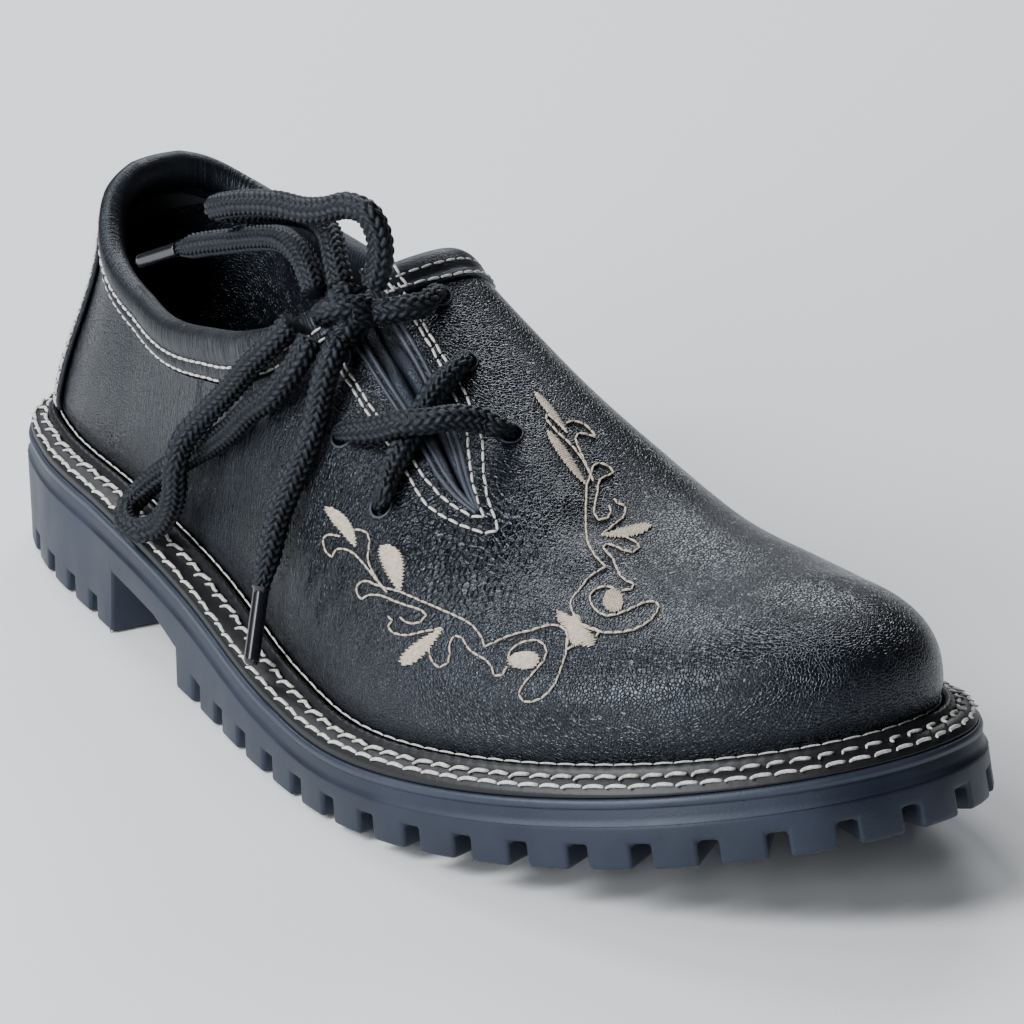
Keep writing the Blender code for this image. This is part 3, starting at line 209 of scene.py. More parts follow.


# One branch of the folk embroidery, drawn in chart units of a quarter millimetre.
CHART_LINES = (
    ((13, 132), (5, 146), (-7, 160), (-19, 168), (-28, 175), (-33, 182), (-29, 185), (-22, 182), (-10, 171)),
    ((-10, 181), (-3, 184), (5, 182), (12, 176), (16, 168), (8, 172), (0, 172), (-3, 168), (1, 156),
     (7, 144), (13, 132)),
    ((7, 128), (12, 141), (13, 146), (21, 147), (28, 143), (31, 137), (23, 137), (18, 132), (17, 122),
     (15, 112), (16, 105), (23, 103), (29, 105), (30, 110), (28, 114)),
    ((32, 119), (33, 115), (39, 115), (43, 109), (41, 103), (33, 98), (23, 91)),
    ((41, 89), (53, 82), (58, 76), (51, 73), (41, 77), (31, 82), (25, 81), (27, 76), (35, 69), (39, 60),
     (44, 52), (55, 45), (53, 42), (43, 42)),
    ((37, 44), (29, 46), (20, 43), (14, 35), (17, 26), (27, 20), (41, 23), (55, 27), (67, 29), (76, 24),
     (71, 16), (55, 9), (35, 6), (21, 5), (5, 8), (-3, 20), (-2, 30), (5, 40), (13, 52), (29, 62)),
    ((7, 128), (7, 114), (8, 98), (11, 82), (19, 70), (29, 62)),
    ((5, 8), (21, 5), (15, -1)),
)
# Leaves as tip, base and width; the other fills as outlines.
CHART_LEAVES = (
    ((-37, 208), (-10, 171), 11), ((-32, 166), (7, 128), 12), ((66, 92), (23, 91), 9),
)
CHART_FILLS = (
    ((28, 40), (33, 44), (41, 42), (44, 34), (41, 26), (33, 24), (27, 28), (26, 34)),
    ((-15, 10), (-5, 12), (3, 9), (13, 2), (15, -4), (9, -11), (1, -12), (-9, -4), (-15, 2)),
)
# Lay of the satin threads in degrees: the leaves first, then the other fills.
SATIN_ANGLES = (22, 28, 66, 66, 34)


@dataclass(frozen=True)
class Mark:
    """Landmark of the embroidery: its place in the chart, and on the leather of each branch.

    A place on the leather is the length from the heel in metres and the girth.
    """

    chart: tuple[int, int]
    right: tuple[float, float]
    left: tuple[float, float]


EMBROIDERY_MARKS = {
    "knot": Mark((0, 0), (0.234, 0.50), (0.234, 0.50)),
    "fork": Mark((7, 128), (0.204, 0.90), (0.191, 0.38)),
    "top leaf": Mark((-37, 208), (0.179, 0.97), (0.161, 0.38)),
    "side leaf": Mark((66, 92), (0.220, 0.94), (0.200, 0.23)),
    "loop": Mark((76, 24), (0.244, 0.68), (0.233, 0.22)),
    "curl": Mark((31, 137), (0.204, 0.98), (0.181, 0.30)),
}


class Side(Enum):
    """Side of the shoe, as the last counts it."""

    LATERAL = "lateral"
    MEDIAL = "medial"


def soft_step(share: np.ndarray) -> np.ndarray:
    """Goes from 0 to 1 with flat ends."""
    share = np.clip(share, 0.0, 1.0)
    return share * share * (3.0 - 2.0 * share)


def read_table(rows: Sequence[Sequence[float]], column: int, along: np.ndarray) -> np.ndarray:
    """Reads one column of a table of shares as a smooth curve.

    Args:
        rows: Table rows, each starting with its share of the length.
        column: Which value of the row is read.
        along: Lengths in metres from the heel.

    Returns:
        The column's values at those lengths.
    """
    places = np.array([row[0] for row in rows]) * LENGTH
    values = np.array([row[column] for row in rows])
    slopes = np.diff(values) / np.diff(places)
    tangents = np.concatenate([slopes[:1], (slopes[:-1] + slopes[1:]) / 2, slopes[-1:]])
    along = np.clip(along, places[0], places[-1])
    index = np.clip(np.searchsorted(places, along, side="right") - 1, 0, len(places) - 2)
    step = places[index + 1] - places[index]
    x = (along - places[index]) / step
    start = (2 * x**3 - 3 * x**2 + 1) * values[index] + (x**3 - 2 * x**2 + x) * step * tangents[index]
    end = (3 * x**2 - 2 * x**3) * values[index + 1] + (x**3 - x**2) * step * tangents[index + 1]
    return start + end


def smooth_route(points: Sequence[Sequence[float]], spacing: float) -> np.ndarray:
    """Points of even spacing on a smooth curve through the given ones.

    Args:
        points: Places in order, of two or three coordinates.
        spacing: Wanted distance between the new points.

    Returns:
        Array of points.
    """
    points = np.asarray(points, float)
    spans = np.sqrt(np.linalg.norm(np.diff(points, axis=0), axis=1))
    chords = np.diff(points, axis=0) / spans[:, None]
    weights = (spans[:-1] + spans[1:])[:, None]
    inner = (chords[:-1] * spans[1:, None] + chords[1:] * spans[:-1, None]) / weights
    tangents = np.vstack([chords[:1], inner, chords[-1:]])
    x = np.linspace(0.0, 1.0, 20, endpoint=False)[:, None]
    runs = []
    for i, span in enumerate(spans):
        run = (2 * x**3 - 3 * x**2 + 1) * points[i] + (x**3 - 2 * x**2 + x) * span * tangents[i]
        run = run + (3 * x**2 - 2 * x**3) * points[i + 1] + (x**3 - x**2) * span * tangents[i + 1]
        runs.append(run)
    return respaced(np.vstack(runs + [points[-1:]]), spacing)


def respaced(path: np.ndarray, spacing: float) -> np.ndarray:
    """The same line with points at even spacing."""
    lengths = np.concatenate([[0.0], np.cumsum(np.linalg.norm(np.diff(path, axis=0), axis=1))])
    even = np.linspace(0.0, lengths[-1], max(2, round(lengths[-1] / spacing) + 1))
    return np.stack([np.interp(even, lengths, path[:, axis]) for axis in range(path.shape[1])], axis=1)


class Last:
    """The shoe's form: a flat sole pattern bent up at the toe, and a fan of girth lines."""

    def __init__(self) -> None:
        """Lays out the outsole's edge and the feather line."""
        self.shares = np.arange(DENSE + 1) / DENSE
        self.edge, self.normal = self._outline()
        self.turns = np.arange(DENSE) / DENSE
        self.foot_along = LENGTH / 2 - self.foot_line(self.turns)[:, 1]
        self.toe = int(np.argmax(self.foot_along))

    def _outline(self) -> tuple[np.ndarray, np.ndarray]:
        """Outsole edge as dense points (across, along) with outward normals."""
        points = np.array([(across * BALL_WIDTH, along * LENGTH) for along, across in OUTLINE])
        after = np.roll(points, -1, axis=0)
        spans = np.sqrt(np.linalg.norm(after - points, axis=1))
        before = np.roll(spans, 1)
        chord = (after - points) / spans[:, None]
        tangents = np.roll(chord, 1, axis=0) * spans[:, None] + chord * before[:, None]
        tangents /= (before + spans)[:, None]
        knots = np.concatenate([[0.0], np.cumsum(spans)])
        places = np.linspace(0.0, knots[-1], DENSE, endpoint=False)
        index = np.clip(np.searchsorted(knots, places, side="right") - 1, 0, len(points) - 1)
        following = (index + 1) % len(points)
        span = spans[index][:, None]
        x = (places - knots[index])[:, None] / span
        curve = (2 * x**3 - 3 * x**2 + 1) * points[index] + (x**3 - 2 * x**2 + x) * span * tangents[index]
        curve += (3 * x**2 - 2 * x**3) * points[following] + (x**3 - x**2) * span * tangents[following]
        ring = np.vstack([curve, curve[:1]])
        lengths = np.concatenate([[0.0], np.cumsum(np.linalg.norm(np.diff(ring, axis=0), axis=1))])
        even = np.linspace(0.0, lengths[-1], DENSE, endpoint=False)
        edge = np.stack([np.interp(even, lengths, ring[:, axis]) for axis in (0, 1)], axis=1)
        tangent = np.roll(edge, -1, axis=0) - np.roll(edge, 1, axis=0)
        normal = np.stack([-tangent[:, 1], tangent[:, 0]], axis=1)
        normal /= np.linalg.norm(normal, axis=1)[:, None]
        if np.sum(normal * (edge - edge.mean(axis=0))) < 0:
            normal = -normal
        return edge, normal

    def around(self, values: np.ndarray, turn: np.ndarray) -> np.ndarray:
        """Reads a dense closed list at places given as shares of one turn."""
        return np.interp(np.mod(turn, 1.0), self.shares, np.concatenate([values, values[:1]]))

    def sole_place(self, turn: np.ndarray, inset: np.ndarray, above_top: np.ndarray) -> np.ndarray:
        """World place beside the outsole's edge.

        Args:
            turn: Share of the way round the edge, from the heel by the medial side.
            inset: Distance inside the edge.
            above_top: Height above the rubber's upper face.

        Returns:
            Array of places.
        """
        across = self.around(self.edge[:, 0], turn) - inset * self.around(self.normal[:, 0], turn)
        along = self.around(self.edge[:, 1], turn) - inset * self.around(self.normal[:, 1], turn)
        blend = soft_step((along - 0.2 * LENGTH) / (0.433 * LENGTH))
        height = HEEL_HEIGHT + (FOREFOOT_THICKNESS - HEEL_HEIGHT) * blend + above_top
        share = np.clip((along - SPRING_START) / (LENGTH - SPRING_START), 0.0, None)
        slope = TOE_SPRING * SPRING_POWER * share ** (SPRING_POWER - 1) / (LENGTH - SPRING_START)
        angle = np.arctan(slope)
        y = LENGTH / 2 - along + height * np.sin(angle)
        z = TOE_SPRING * share**SPRING_POWER + height * np.cos(angle)
        return np.stack([-across, y, z], axis=-1)

    def feather_inset(self, turn: np.ndarray) -> np.ndarray:
        """Distance from the outsole's edge to the foot of the upper."""
        return WELT_REACH * read_table(WELT_SHARES, 1, self.around(self.edge[:, 1], turn))

    def foot_line(self, turn: np.ndarray) -> np.ndarray:
        """World place where each girth line leaves the welt."""
        return self.sole_place(turn, self.feather_inset(turn), WELT_THICKNESS)

    def turn_at(self, along: np.ndarray, side: Side) -> np.ndarray:
        """Share of the turn where the foot line passes a length on one side."""
        if side is Side.LATERAL:
            return np.interp(along, self.foot_along[self.toe:][::-1], self.turns[self.toe:][::-1])
        return np.interp(along, self.foot_along[:self.toe + 1], self.turns[:self.toe + 1])

    def girth_frame(self, turn: np.ndarray) -> tuple[np.ndarray, ...]:
        """Everything about a girth line that doesn't change along it."""
        foot = self.foot_line(turn)
        along = LENGTH / 2 - foot[..., 1]
        rise = np.log1p(np.exp((along - HEEL_FAN) / FAN_SOFTNESS))
        fall = np.log1p(np.exp((along - TOE_FAN) / FAN_SOFTNESS))
        spine = HEEL_FAN + FAN_SOFTNESS * (rise - fall)
        ridge = np.stack([
            -BALL_WIDTH * read_table(SECTIONS, 2, spine),
            LENGTH / 2 - spine,
            INSTEP_HEIGHT * read_table(SECTIONS, 1, spine),
        ], axis=-1)
        out = foot[..., :2] - ridge[..., :2]
        outward = out / np.linalg.norm(out, axis=-1, keepdims=True)
        lateral = 0.5 - 0.5 * outward[..., 0]
        fullness = read_table(SECTIONS, 3, spine) * lateral
        fullness += read_table(SECTIONS, 4, spine) * (1 - lateral)
        toe = np.clip((along - TOE_FAN) / (0.963 * LENGTH - TOE_FAN), 0.0, 1.0)
        fullness = fullness * (1 - toe) + TOE_FULLNESS * toe
        return foot, along, ridge, out, outward, lateral, fullness

    def bare_point(self, turn: np.ndarray, girth: np.ndarray) -> np.ndarray:
        """World place on the outside of the upper; girth runs from 0 to 1."""
        foot, _, ridge, out, outward, _, fullness = self.girth_frame(turn)
        angle = girth * math.pi / 2
        height = (ridge[..., 2] - foot[..., 2]) * np.abs(np.sin(angle)) ** (2 / fullness)
        tuck = FEATHER_TUCK * (1 - soft_step(height / TUCK_HEIGHT))
        rear = 1 - np.clip((LENGTH / 2 - ridge[..., 1] - 0.2 * LENGTH) / (0.233 * LENGTH), 0, 1)
        lean = rear * soft_step(height / LEAN_HEIGHT)
        plan = ridge[..., :2] + out * np.cos(angle)[..., None] - outward * tuck[..., None]
        x = plan[..., 0] + HEEL_LEAN_INWARD * lean
        y = plan[..., 1] - HEEL_LEAN_FORWARD * lean * np.clip(outward[..., 1], 0, 1)
        return np.stack([x, y, foot[..., 2] + height], axis=-1)

    def ridge_normal(self, turn: np.ndarray) -> np.ndarray:
        """Upward normal of the ridge where a girth line meets it."""
        ridge = self.girth_frame(turn)[2]
        ahead = INSTEP_HEIGHT * read_table(SECTIONS, 1, LENGTH / 2 - ridge[..., 1] + 0.001)
        slope = (ahead - ridge[..., 2]) / 0.001
        normal = np.stack([np.zeros_like(slope), slope, np.ones_like(slope)], axis=-1)
        return normal / np.linalg.norm(normal, axis=-1, keepdims=True)

    def facing(self, turn: np.ndarray, girth: np.ndarray) -> tuple[np.ndarray, np.ndarray]:
        """Places on the last's surface and their outward normals.

        Args:
            turn: Share of the way round the feather line.
            girth: Share of the girth line, from the welt to the ridge.

        Returns:
            Places and unit normals.
        """
        turn, girth = np.broadcast_arrays(np.asarray(turn, float), np.asarray(girth, float))
        place = self.bare_point(turn, girth)
        safe = np.clip(girth, 0.0, 0.985)
        around_step = self.bare_point(turn + 0.0008, safe) - self.bare_point(turn - 0.0008, safe)
        upward_step = self.bare_point(turn, safe + 0.004)
        upward_step = upward_step - self.bare_point(turn, np.maximum(safe - 0.004, 0))
        normal = np.cross(upward_step, around_step)
        normal /= np.linalg.norm(normal, axis=-1, keepdims=True) + 1e-12
        near_ridge = soft_step((girth - 0.9) / 0.1)[..., None]
        normal = normal * (1 - near_ridge) + self.ridge_normal(turn) * near_ridge
        normal /= np.linalg.norm(normal, axis=-1, keepdims=True)
        return place, normal

    def point(self, turn: np.ndarray, girth: np.ndarray, offset: np.ndarray = 0.0) -> np.ndarray:
        """A place on the last's surface, moved outwards by the offset."""
        place, normal = self.facing(turn, girth)
        return place + normal * np.asarray(offset)[..., None]

    def at(self, along: np.ndarray, girth: np.ndarray, offset: np.ndarray = 0.0,
           side: Side = Side.LATERAL) -> np.ndarray:
        """As point, at a length measured along the shoe on one side."""
        return self.point(self.turn_at(np.asarray(along, float), side), girth, offset)

    def throat_along(self, drop: float) -> float:
        """Length at which an edge, a drop below the topline, closes on the ridge."""
        return THROAT + 0.88 * drop

    def edge_girth(self, turn: np.ndarray, drop: float) -> np.ndarray:
        """Girth share of an edge that runs a drop below the topline."""
        foot, along, ridge, _, _, lateral, fullness = self.girth_frame(turn)
        back = TOPLINE[0][0] * LENGTH
        shifted = back + (along - back) * (THROAT - back) / (self.throat_along(drop) - back)
        share = read_table(TOPLINE, 1, shifted) * lateral
        share += read_table(TOPLINE, 2, shifted) * (1 - lateral)
        fade = 1 - soft_step((shifted - 0.333 * LENGTH) / (THROAT - 0.333 * LENGTH))
        share -= drop * fade / (ridge[..., 2] - foot[..., 2])
        return np.arcsin(np.clip(share, 0, 1) ** (fullness / 2)) / (math.pi / 2)

    def girth_at_height(self, turn: np.ndarray, height: float) -> np.ndarray:
        """Girth share at which the last stands a height above the welt."""
        foot, _, ridge, _, _, _, fullness = self.girth_frame(turn)
        share = height / (ridge[..., 2] - foot[..., 2])
        return np.arcsin(np.clip(share, 0, 1) ** (fullness / 2)) / (math.pi / 2)

    def edge_curve(self, drop: float, count: int = 1600) -> tuple[np.ndarray, np.ndarray, np.ndarray]:
        """Turns, girths and lengths round an edge, from the throat by the lateral side."""
        start = float(self.turn_at(self.throat_along(drop), Side.LATERAL))
        end = 1.0 + float(self.turn_at(self.throat_along(drop), Side.MEDIAL))
        share = (1 - np.cos(np.linspace(0.0, math.pi, count))) / 2
        turns = start + (end - start) * share
        girths = self.edge_girth(turns, drop)
        girths[0] = girths[-1] = 1.0
        places = self.bare_point(turns, girths)
        steps = np.linalg.norm(np.diff(places, axis=0), axis=1)
        return turns, girths, np.concatenate([[0.0], np.cumsum(steps)])

    def along_edge(self, drop: float, share: np.ndarray) -> tuple[np.ndarray, np.ndarray]:
        """Turn and girth at shares of the way round an edge; it may pass the throat."""
        turns, girths, lengths = self.edge_curve(drop)
        place = np.mod(share, 1.0) * lengths[-1]
        return np.interp(place, lengths, turns), np.interp(place, lengths, girths)

    def share_at_side(self, drop: float, along: float, side: Side) -> float:
        """Share of the way round an edge at which it passes a length."""
        turns, _, lengths = self.edge_curve(drop)
        wanted = float(self.turn_at(along, side)) + (0.0 if side is Side.LATERAL else 1.0)
        return float(np.interp(wanted, turns, lengths)) / lengths[-1]

    def share_at_slit(self, way: int) -> float:
        """Share round the topline where it meets the slit's lateral (+1) or medial (-1) edge."""
        turns, girths, lengths = self.edge_curve(0.5 * BAND_HEIGHT)
        places = self.bare_point(turns, girths)
        along, girth, half_width = SLIT[0]
        nearby = self.at(along * LENGTH, girth)
        half = len(lengths) // 2
        middle = lengths[int(np.argmin(np.linalg.norm(places[:half] - nearby, axis=1)))]
        return float((middle + way * (half_width + GAP)) / lengths[-1])

    def girth_per_metre(self, along: np.ndarray, girth: np.ndarray, side: Side) -> np.ndarray:
        """How much the girth share grows for one metre round the girth line."""
        step = self.at(along, girth + 0.05, 0.0, side) - self.at(along, girth - 0.05, 0.0, side)
        return 0.1 / np.linalg.norm(step, axis=-1)


LAST = Last()


class Bench:
    """Makes and finishes mesh pieces with Blender's own operators."""

    @staticmethod
    def alone(piece: bpy.types.Object) -> None:
        """Selects one object and nothing else."""
        bpy.ops.object.select_all(action="DESELECT")
        piece.select_set(True)
        bpy.context.view_layer.objects.active = piece

    @staticmethod
    def close(piece: bpy.types.Object, distance: float = 0.00001) -> None:
        """Merges the seams of a shaped grid and turns its faces outwards."""
        Bench.alone(piece)
        bpy.ops.object.mode_set(mode="EDIT")
        bpy.ops.mesh.select_all(action="SELECT")
        bpy.ops.mesh.remove_doubles(threshold=distance)
        bpy.ops.mesh.dissolve_degenerate(threshold=distance / 4)
        bpy.ops.mesh.normals_make_consistent(inside=False)
        bpy.ops.object.mode_set(mode="OBJECT")
        bpy.ops.object.shade_smooth()

    @staticmethod
    def grid(name: str, places: np.ndarray) -> bpy.types.Object:
        """Adds a grid primitive and shapes it to rows of points.

        Args:
            name: The piece's name.
            places: Points as an array of rows, columns and three coordinates.

        Returns:
            The shaped object, with its place in its mesh.
        """
        rows, columns = places.shape[:2]
        bpy.ops.object.select_all(action="DESELECT")
        bpy.ops.mesh.primitive_grid_add(x_subdivisions=columns - 1, y_subdivisions=rows - 1, size=1)
        piece = bpy.context.active_object
        piece.name = name
        piece.data.name = name
        piece.data.vertices.foreach_set("co", places.reshape(-1, 3).astype(np.float32).ravel())
        piece.data.update()
        return piece

    @staticmethod
    def paint(piece: bpy.types.Object, name: str, values: np.ndarray) -> None:
        """Keeps one number for each vertex, for a finish to read."""
        layer = piece.data.attributes.new(name, "FLOAT", "POINT")
        layer.data.foreach_set("value", np.asarray(values, np.float32).ravel())

    @staticmethod
    def modify(piece: bpy.types.Object, kind: str, **settings: object) -> None:
        """Adds a modifier, sets it and applies it."""
        modifier = piece.modifiers.new(kind.lower(), kind)
        for key, value in settings.items():
            setattr(modifier, key, value)
        Bench.alone(piece)
        bpy.ops.object.modifier_apply(modifier=modifier.name)

    @staticmethod
    def cut(piece: bpy.types.Object, cutter: bpy.types.Object) -> None:
        """Takes the cutter's volume away from the piece and removes the cutter."""
        Bench.modify(piece, "BOOLEAN", operation="DIFFERENCE", solver="EXACT", object=cutter)
        bpy.data.objects.remove(cutter)

    @staticmethod
    def join(name: str, pieces: Sequence[bpy.types.Object]) -> bpy.types.Object:
        """Joins pieces into the first one."""
        bpy.ops.object.select_all(action="DESELECT")
        for piece in pieces:
            piece.select_set(True)
        bpy.context.view_layer.objects.active = pieces[0]
        if len(pieces) > 1:
            bpy.ops.object.join()
        pieces[0].name = name
        pieces[0].data.name = name
        return pieces[0]

    @staticmethod
    def smooth_by_angle(piece: bpy.types.Object, degrees: float) -> None:
        """Shades smooth except over edges sharper than the angle."""
        Bench.alone(piece)
        bpy.ops.object.shade_smooth_by_angle(angle=math.radians(degrees))

    @staticmethod
    def wear(piece: bpy.types.Object, finish: bpy.types.Material, slot: str = "", *nodes: str) -> None:
        """Gives a piece its finish and its body, and hides the CAD nodes that it stands for."""
        piece.data.materials.clear()
        piece.data.materials.append(finish)
        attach(piece, "root")
        if nodes:
            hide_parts(*nodes)
        LOG.info("%s: %d faces", piece.name, len(getattr(piece.data, "polygons", ())))


def carried_frames(path: np.ndarray) -> tuple[np.ndarray, np.ndarray, np.ndarray]:
    """Tangents and two cross directions carried along a path without twisting."""
    tangents = np.gradient(path, axis=0)
    tangents /= np.linalg.norm(tangents, axis=1, keepdims=True) + 1e-12
    side = np.cross(tangents[0], (0.0, 0.0, 1.0))
    if np.linalg.norm(side) < 0.3:
        side = np.cross(tangents[0], (0.0, 1.0, 0.0))
    sides = []
    for tangent in tangents:
        side = side - tangent * np.dot(side, tangent)
        side = side / np.linalg.norm(side)
        sides.append(side)
    sides = np.array(sides)
    return tangents, sides, np.cross(tangents, sides)


def tube_places(path: np.ndarray, radii: np.ndarray, sides: int,
                relief: Callable[[np.ndarray, np.ndarray], np.ndarray] | None = None) -> np.ndarray:
    """Rows of points round a path, with both ends drawn to a point.

    Args:
        path: Middle line.
        radii: Radius at each of its points.
        sides: Points round the tube.
        relief: Height to add at an angle and a length, in metres.

    Returns:
        Points as rows of sides + 1, the last of which closes the ring.
    """
    _, across, other = carried_frames(path)
    angles = np.linspace(0.0, 2 * math.pi, sides + 1)
    lengths = np.concatenate([[0.0], np.cumsum(np.linalg.norm(np.diff(path, axis=0), axis=1))])
    reach = np.broadcast_to(np.asarray(radii, float)[:, None], (len(path), sides + 1)).copy()
    if relief is not None:
        reach += relief(angles[None, :], lengths[:, None])
    ring = np.cos(angles)[None, :, None] * across[:, None] + np.sin(angles)[None, :, None] * other[:, None]
    places = path[:, None] + reach[..., None] * ring
    first = np.broadcast_to(path[0], (1, sides + 1, 3))
    last = np.broadcast_to(path[-1], (1, sides + 1, 3))
    return np.concatenate([first, places, last])


class Tree:
    """Short way to build a material's node tree."""

    def __init__(self, name: str) -> None:
        """Starts a material with its Principled shader."""
        self.material = bpy.data.materials.new(name)
        self.material.use_nodes = True
        self.nodes = self.material.node_tree.nodes
        self.shader = self.nodes["Principled BSDF"]

    def add(self, kind: str, inputs: dict[str | int, object] | None = None,
            **settings: object) -> bpy.types.Node:
        """Adds a node; an input given as a socket is linked, any other value is set."""
        node = self.nodes.new(kind)
        for key, value in settings.items():
            setattr(node, key, value)
        for key, value in (inputs or {}).items():
            self.feed(node.inputs[key], value)
        return node

    def feed(self, socket: bpy.types.NodeSocket, value: object) -> None:
        """Links or sets one input."""
        if isinstance(value, bpy.types.NodeSocket):
            self.material.node_tree.links.new(value, socket)
        else:
            socket.default_value = value

    def set(self, **values: object) -> None:
        """Sets inputs of the shader; underscores stand for spaces."""
        for key, value in values.items():
            self.feed(self.shader.inputs[key.replace("_", " ")], value)

    def place(self) -> bpy.types.NodeSocket:
        """Object coordinates."""
        return self.add("ShaderNodeTexCoord").outputs["Object"]

    def painted(self, name: str) -> bpy.types.NodeSocket:
        """A number kept on the mesh."""
        return self.add("ShaderNodeAttribute", attribute_name=name).outputs["Fac"]

    def maths(self, operation: str, *values: object) -> bpy.types.NodeSocket:
        """One Math node."""
        node = self.add("ShaderNodeMath", dict(enumerate(values)), operation=operation)
        return node.outputs[0]

    def ramp(self, factor: bpy.types.NodeSocket, low: float, high: float,
             start: float = 0.0, end: float = 1.0) -> bpy.types.NodeSocket:
        """Maps a value from one range to another, clamped."""
        node = self.add("ShaderNodeMapRange", {"Value": factor, "From Min": low, "From Max": high,
                                               "To Min": start, "To Max": end})
        return node.outputs["Result"]

    def tint(self, factor: bpy.types.NodeSocket, low: tuple[float, ...],
             high: tuple[float, ...]) -> bpy.types.NodeSocket:
        """Mixes two colours."""
        node = self.add("ShaderNodeMix", data_type="RGBA")
        self.feed(node.inputs[0], factor)
        self.feed(node.inputs[6], (*low, 1.0))
        self.feed(node.inputs[7], (*high, 1.0))
        return node.outputs[2]

    def bump(self, height: bpy.types.NodeSocket, depth: float,
             before: bpy.types.NodeSocket | None = None) -> bpy.types.NodeSocket:
        """Turns a height from 0 to 1 into relief of a depth in metres."""
        node = self.add("ShaderNodeBump", {"Height": height, "Distance": depth, "Strength": 1.0})
        if before is not None:
            self.feed(node.inputs["Normal"], before)
        return node.outputs["Normal"]


Colour = tuple[float, float, float]
COOL_SHINE = (0.80, 0.88, 1.0, 1.0)


@dataclass(frozen=True)
class Leather:
    """Fine-grained black leather; the painted value pebble makes the grain coarser."""

    name: str = "black_leather"
    colour: Colour = (0.0020, 0.0024, 0.0036)
    worn: Colour = (0.0050, 0.0060, 0.0092)
    roughness: float = 0.30
    cell: float = 0.0007
    depth: float = 0.00024
    pebbled: bool = True
    pebble: float = 0.00145
    puckered: bool = False

    @staticmethod
    def cells(tree: Tree, place: bpy.types.NodeSocket, scale: float) -> bpy.types.NodeSocket:
        """Flat grain cells with narrow cracks between them."""
        cells = tree.add("ShaderNodeTexVoronoi", {"Vector": place, "Scale": scale},
                         feature="DISTANCE_TO_EDGE")
        return tree.ramp(cells.outputs["Distance"], 0.0, 0.2)

    @staticmethod
    def folds(tree: Tree, place: bpy.types.NodeSocket, scale: float) -> bpy.types.NodeSocket:
        """Narrow folds where a stretched noise passes its middle value."""
        lines = tree.add("ShaderNodeTexNoise", {"Vector": place, "Scale": scale, "Detail": 2.0})
        sharp = tree.maths("ABSOLUTE", tree.maths("SUBTRACT", lines.outputs["Fac"], 0.5))
        return tree.ramp(sharp, 0.0, 0.12)

    def make(self) -> bpy.types.Material:
        """Builds the material."""
        tree = Tree(self.name)
        place = tree.place()
        warp = tree.add("ShaderNodeTexNoise", {"Vector": place, "Scale": 220.0, "Detail": 2.0})
        moved = tree.add("ShaderNodeMix", data_type="VECTOR")
        tree.feed(moved.inputs[0], 0.0012)
        tree.feed(moved.inputs[4], place)
        tree.feed(moved.inputs[5], warp.outputs["Color"])
        fine = tree.add("ShaderNodeTexNoise", {"Vector": place, "Scale": 2600.0, "Detail": 3.0})
        wide = tree.add("ShaderNodeTexNoise", {"Vector": place, "Scale": 34.0, "Detail": 3.0})
        height = tree.maths("MULTIPLY", self.cells(tree, moved.outputs[1], 1 / self.cell), 0.34)
        if self.pebbled:
            coarse = self.cells(tree, moved.outputs[1], 1 / self.pebble)
            mixed = tree.add("ShaderNodeMix", {"Factor": tree.painted("pebble")}, data_type="FLOAT")
            tree.feed(mixed.inputs[2], height)
            tree.feed(mixed.inputs[3], coarse)
            height = mixed.outputs[0]
        height = tree.maths("MULTIPLY_ADD", fine.outputs["Fac"], 0.15, height)
        normal = tree.bump(height, self.depth)
        if self.pebbled:
            upright = tree.add("ShaderNodeMapping", {"Vector": place, "Scale": (1.0, 1.0, 0.13)})
            lines = self.folds(tree, upright.outputs[0], 900.0)
            normal = tree.bump(tree.maths("MULTIPLY", lines, tree.painted("wrinkle")), 0.00030, normal)
        if self.puckered:
            run = tree.add("ShaderNodeCombineXYZ", {"X": tree.painted("run"), "Y": tree.painted("drop")})
            lines = self.folds(tree, run.outputs[0], 700.0)
            normal = tree.bump(tree.maths("MULTIPLY", lines, tree.painted("pucker")), 0.00025, normal)
        rough = tree.ramp(wide.outputs["Fac"], 0.3, 0.7, self.roughness - 0.05, self.roughness + 0.06)
        tree.set(Base_Color=tree.tint(tree.ramp(wide.outputs["Fac"], 0.35, 0.75), self.colour, self.worn),
                 Roughness=rough, Normal=normal, Specular_IOR_Level=0.5, Specular_Tint=COOL_SHINE)
        return tree.material


@dataclass(frozen=True)
class Rubber:
    """Blue-black moulded rubber."""

    name: str = "slate_rubber"
    colour: Colour = (0.0100, 0.0130, 0.0235)
    dusty: Colour = (0.0190, 0.0240, 0.0400)
    roughness: float = 0.50

    def make(self) -> bpy.types.Material:
        """Builds the material."""
        tree = Tree(self.name)
        place = tree.place()
        cloud = tree.add("ShaderNodeTexNoise", {"Vector": place, "Scale": 60.0, "Detail": 5.0})
        fine = tree.add("ShaderNodeTexNoise", {"Vector": place, "Scale": 1800.0, "Detail": 2.0})
        tree.set(Base_Color=tree.tint(tree.ramp(cloud.outputs["Fac"], 0.35, 0.7), self.colour, self.dusty),
                 Roughness=tree.ramp(cloud.outputs["Fac"], 0.3, 0.7,
                                     self.roughness - 0.06, self.roughness + 0.08),
                 Normal=tree.bump(fine.outputs["Fac"], 0.00005), Specular_Tint=COOL_SHINE)
        return tree.material


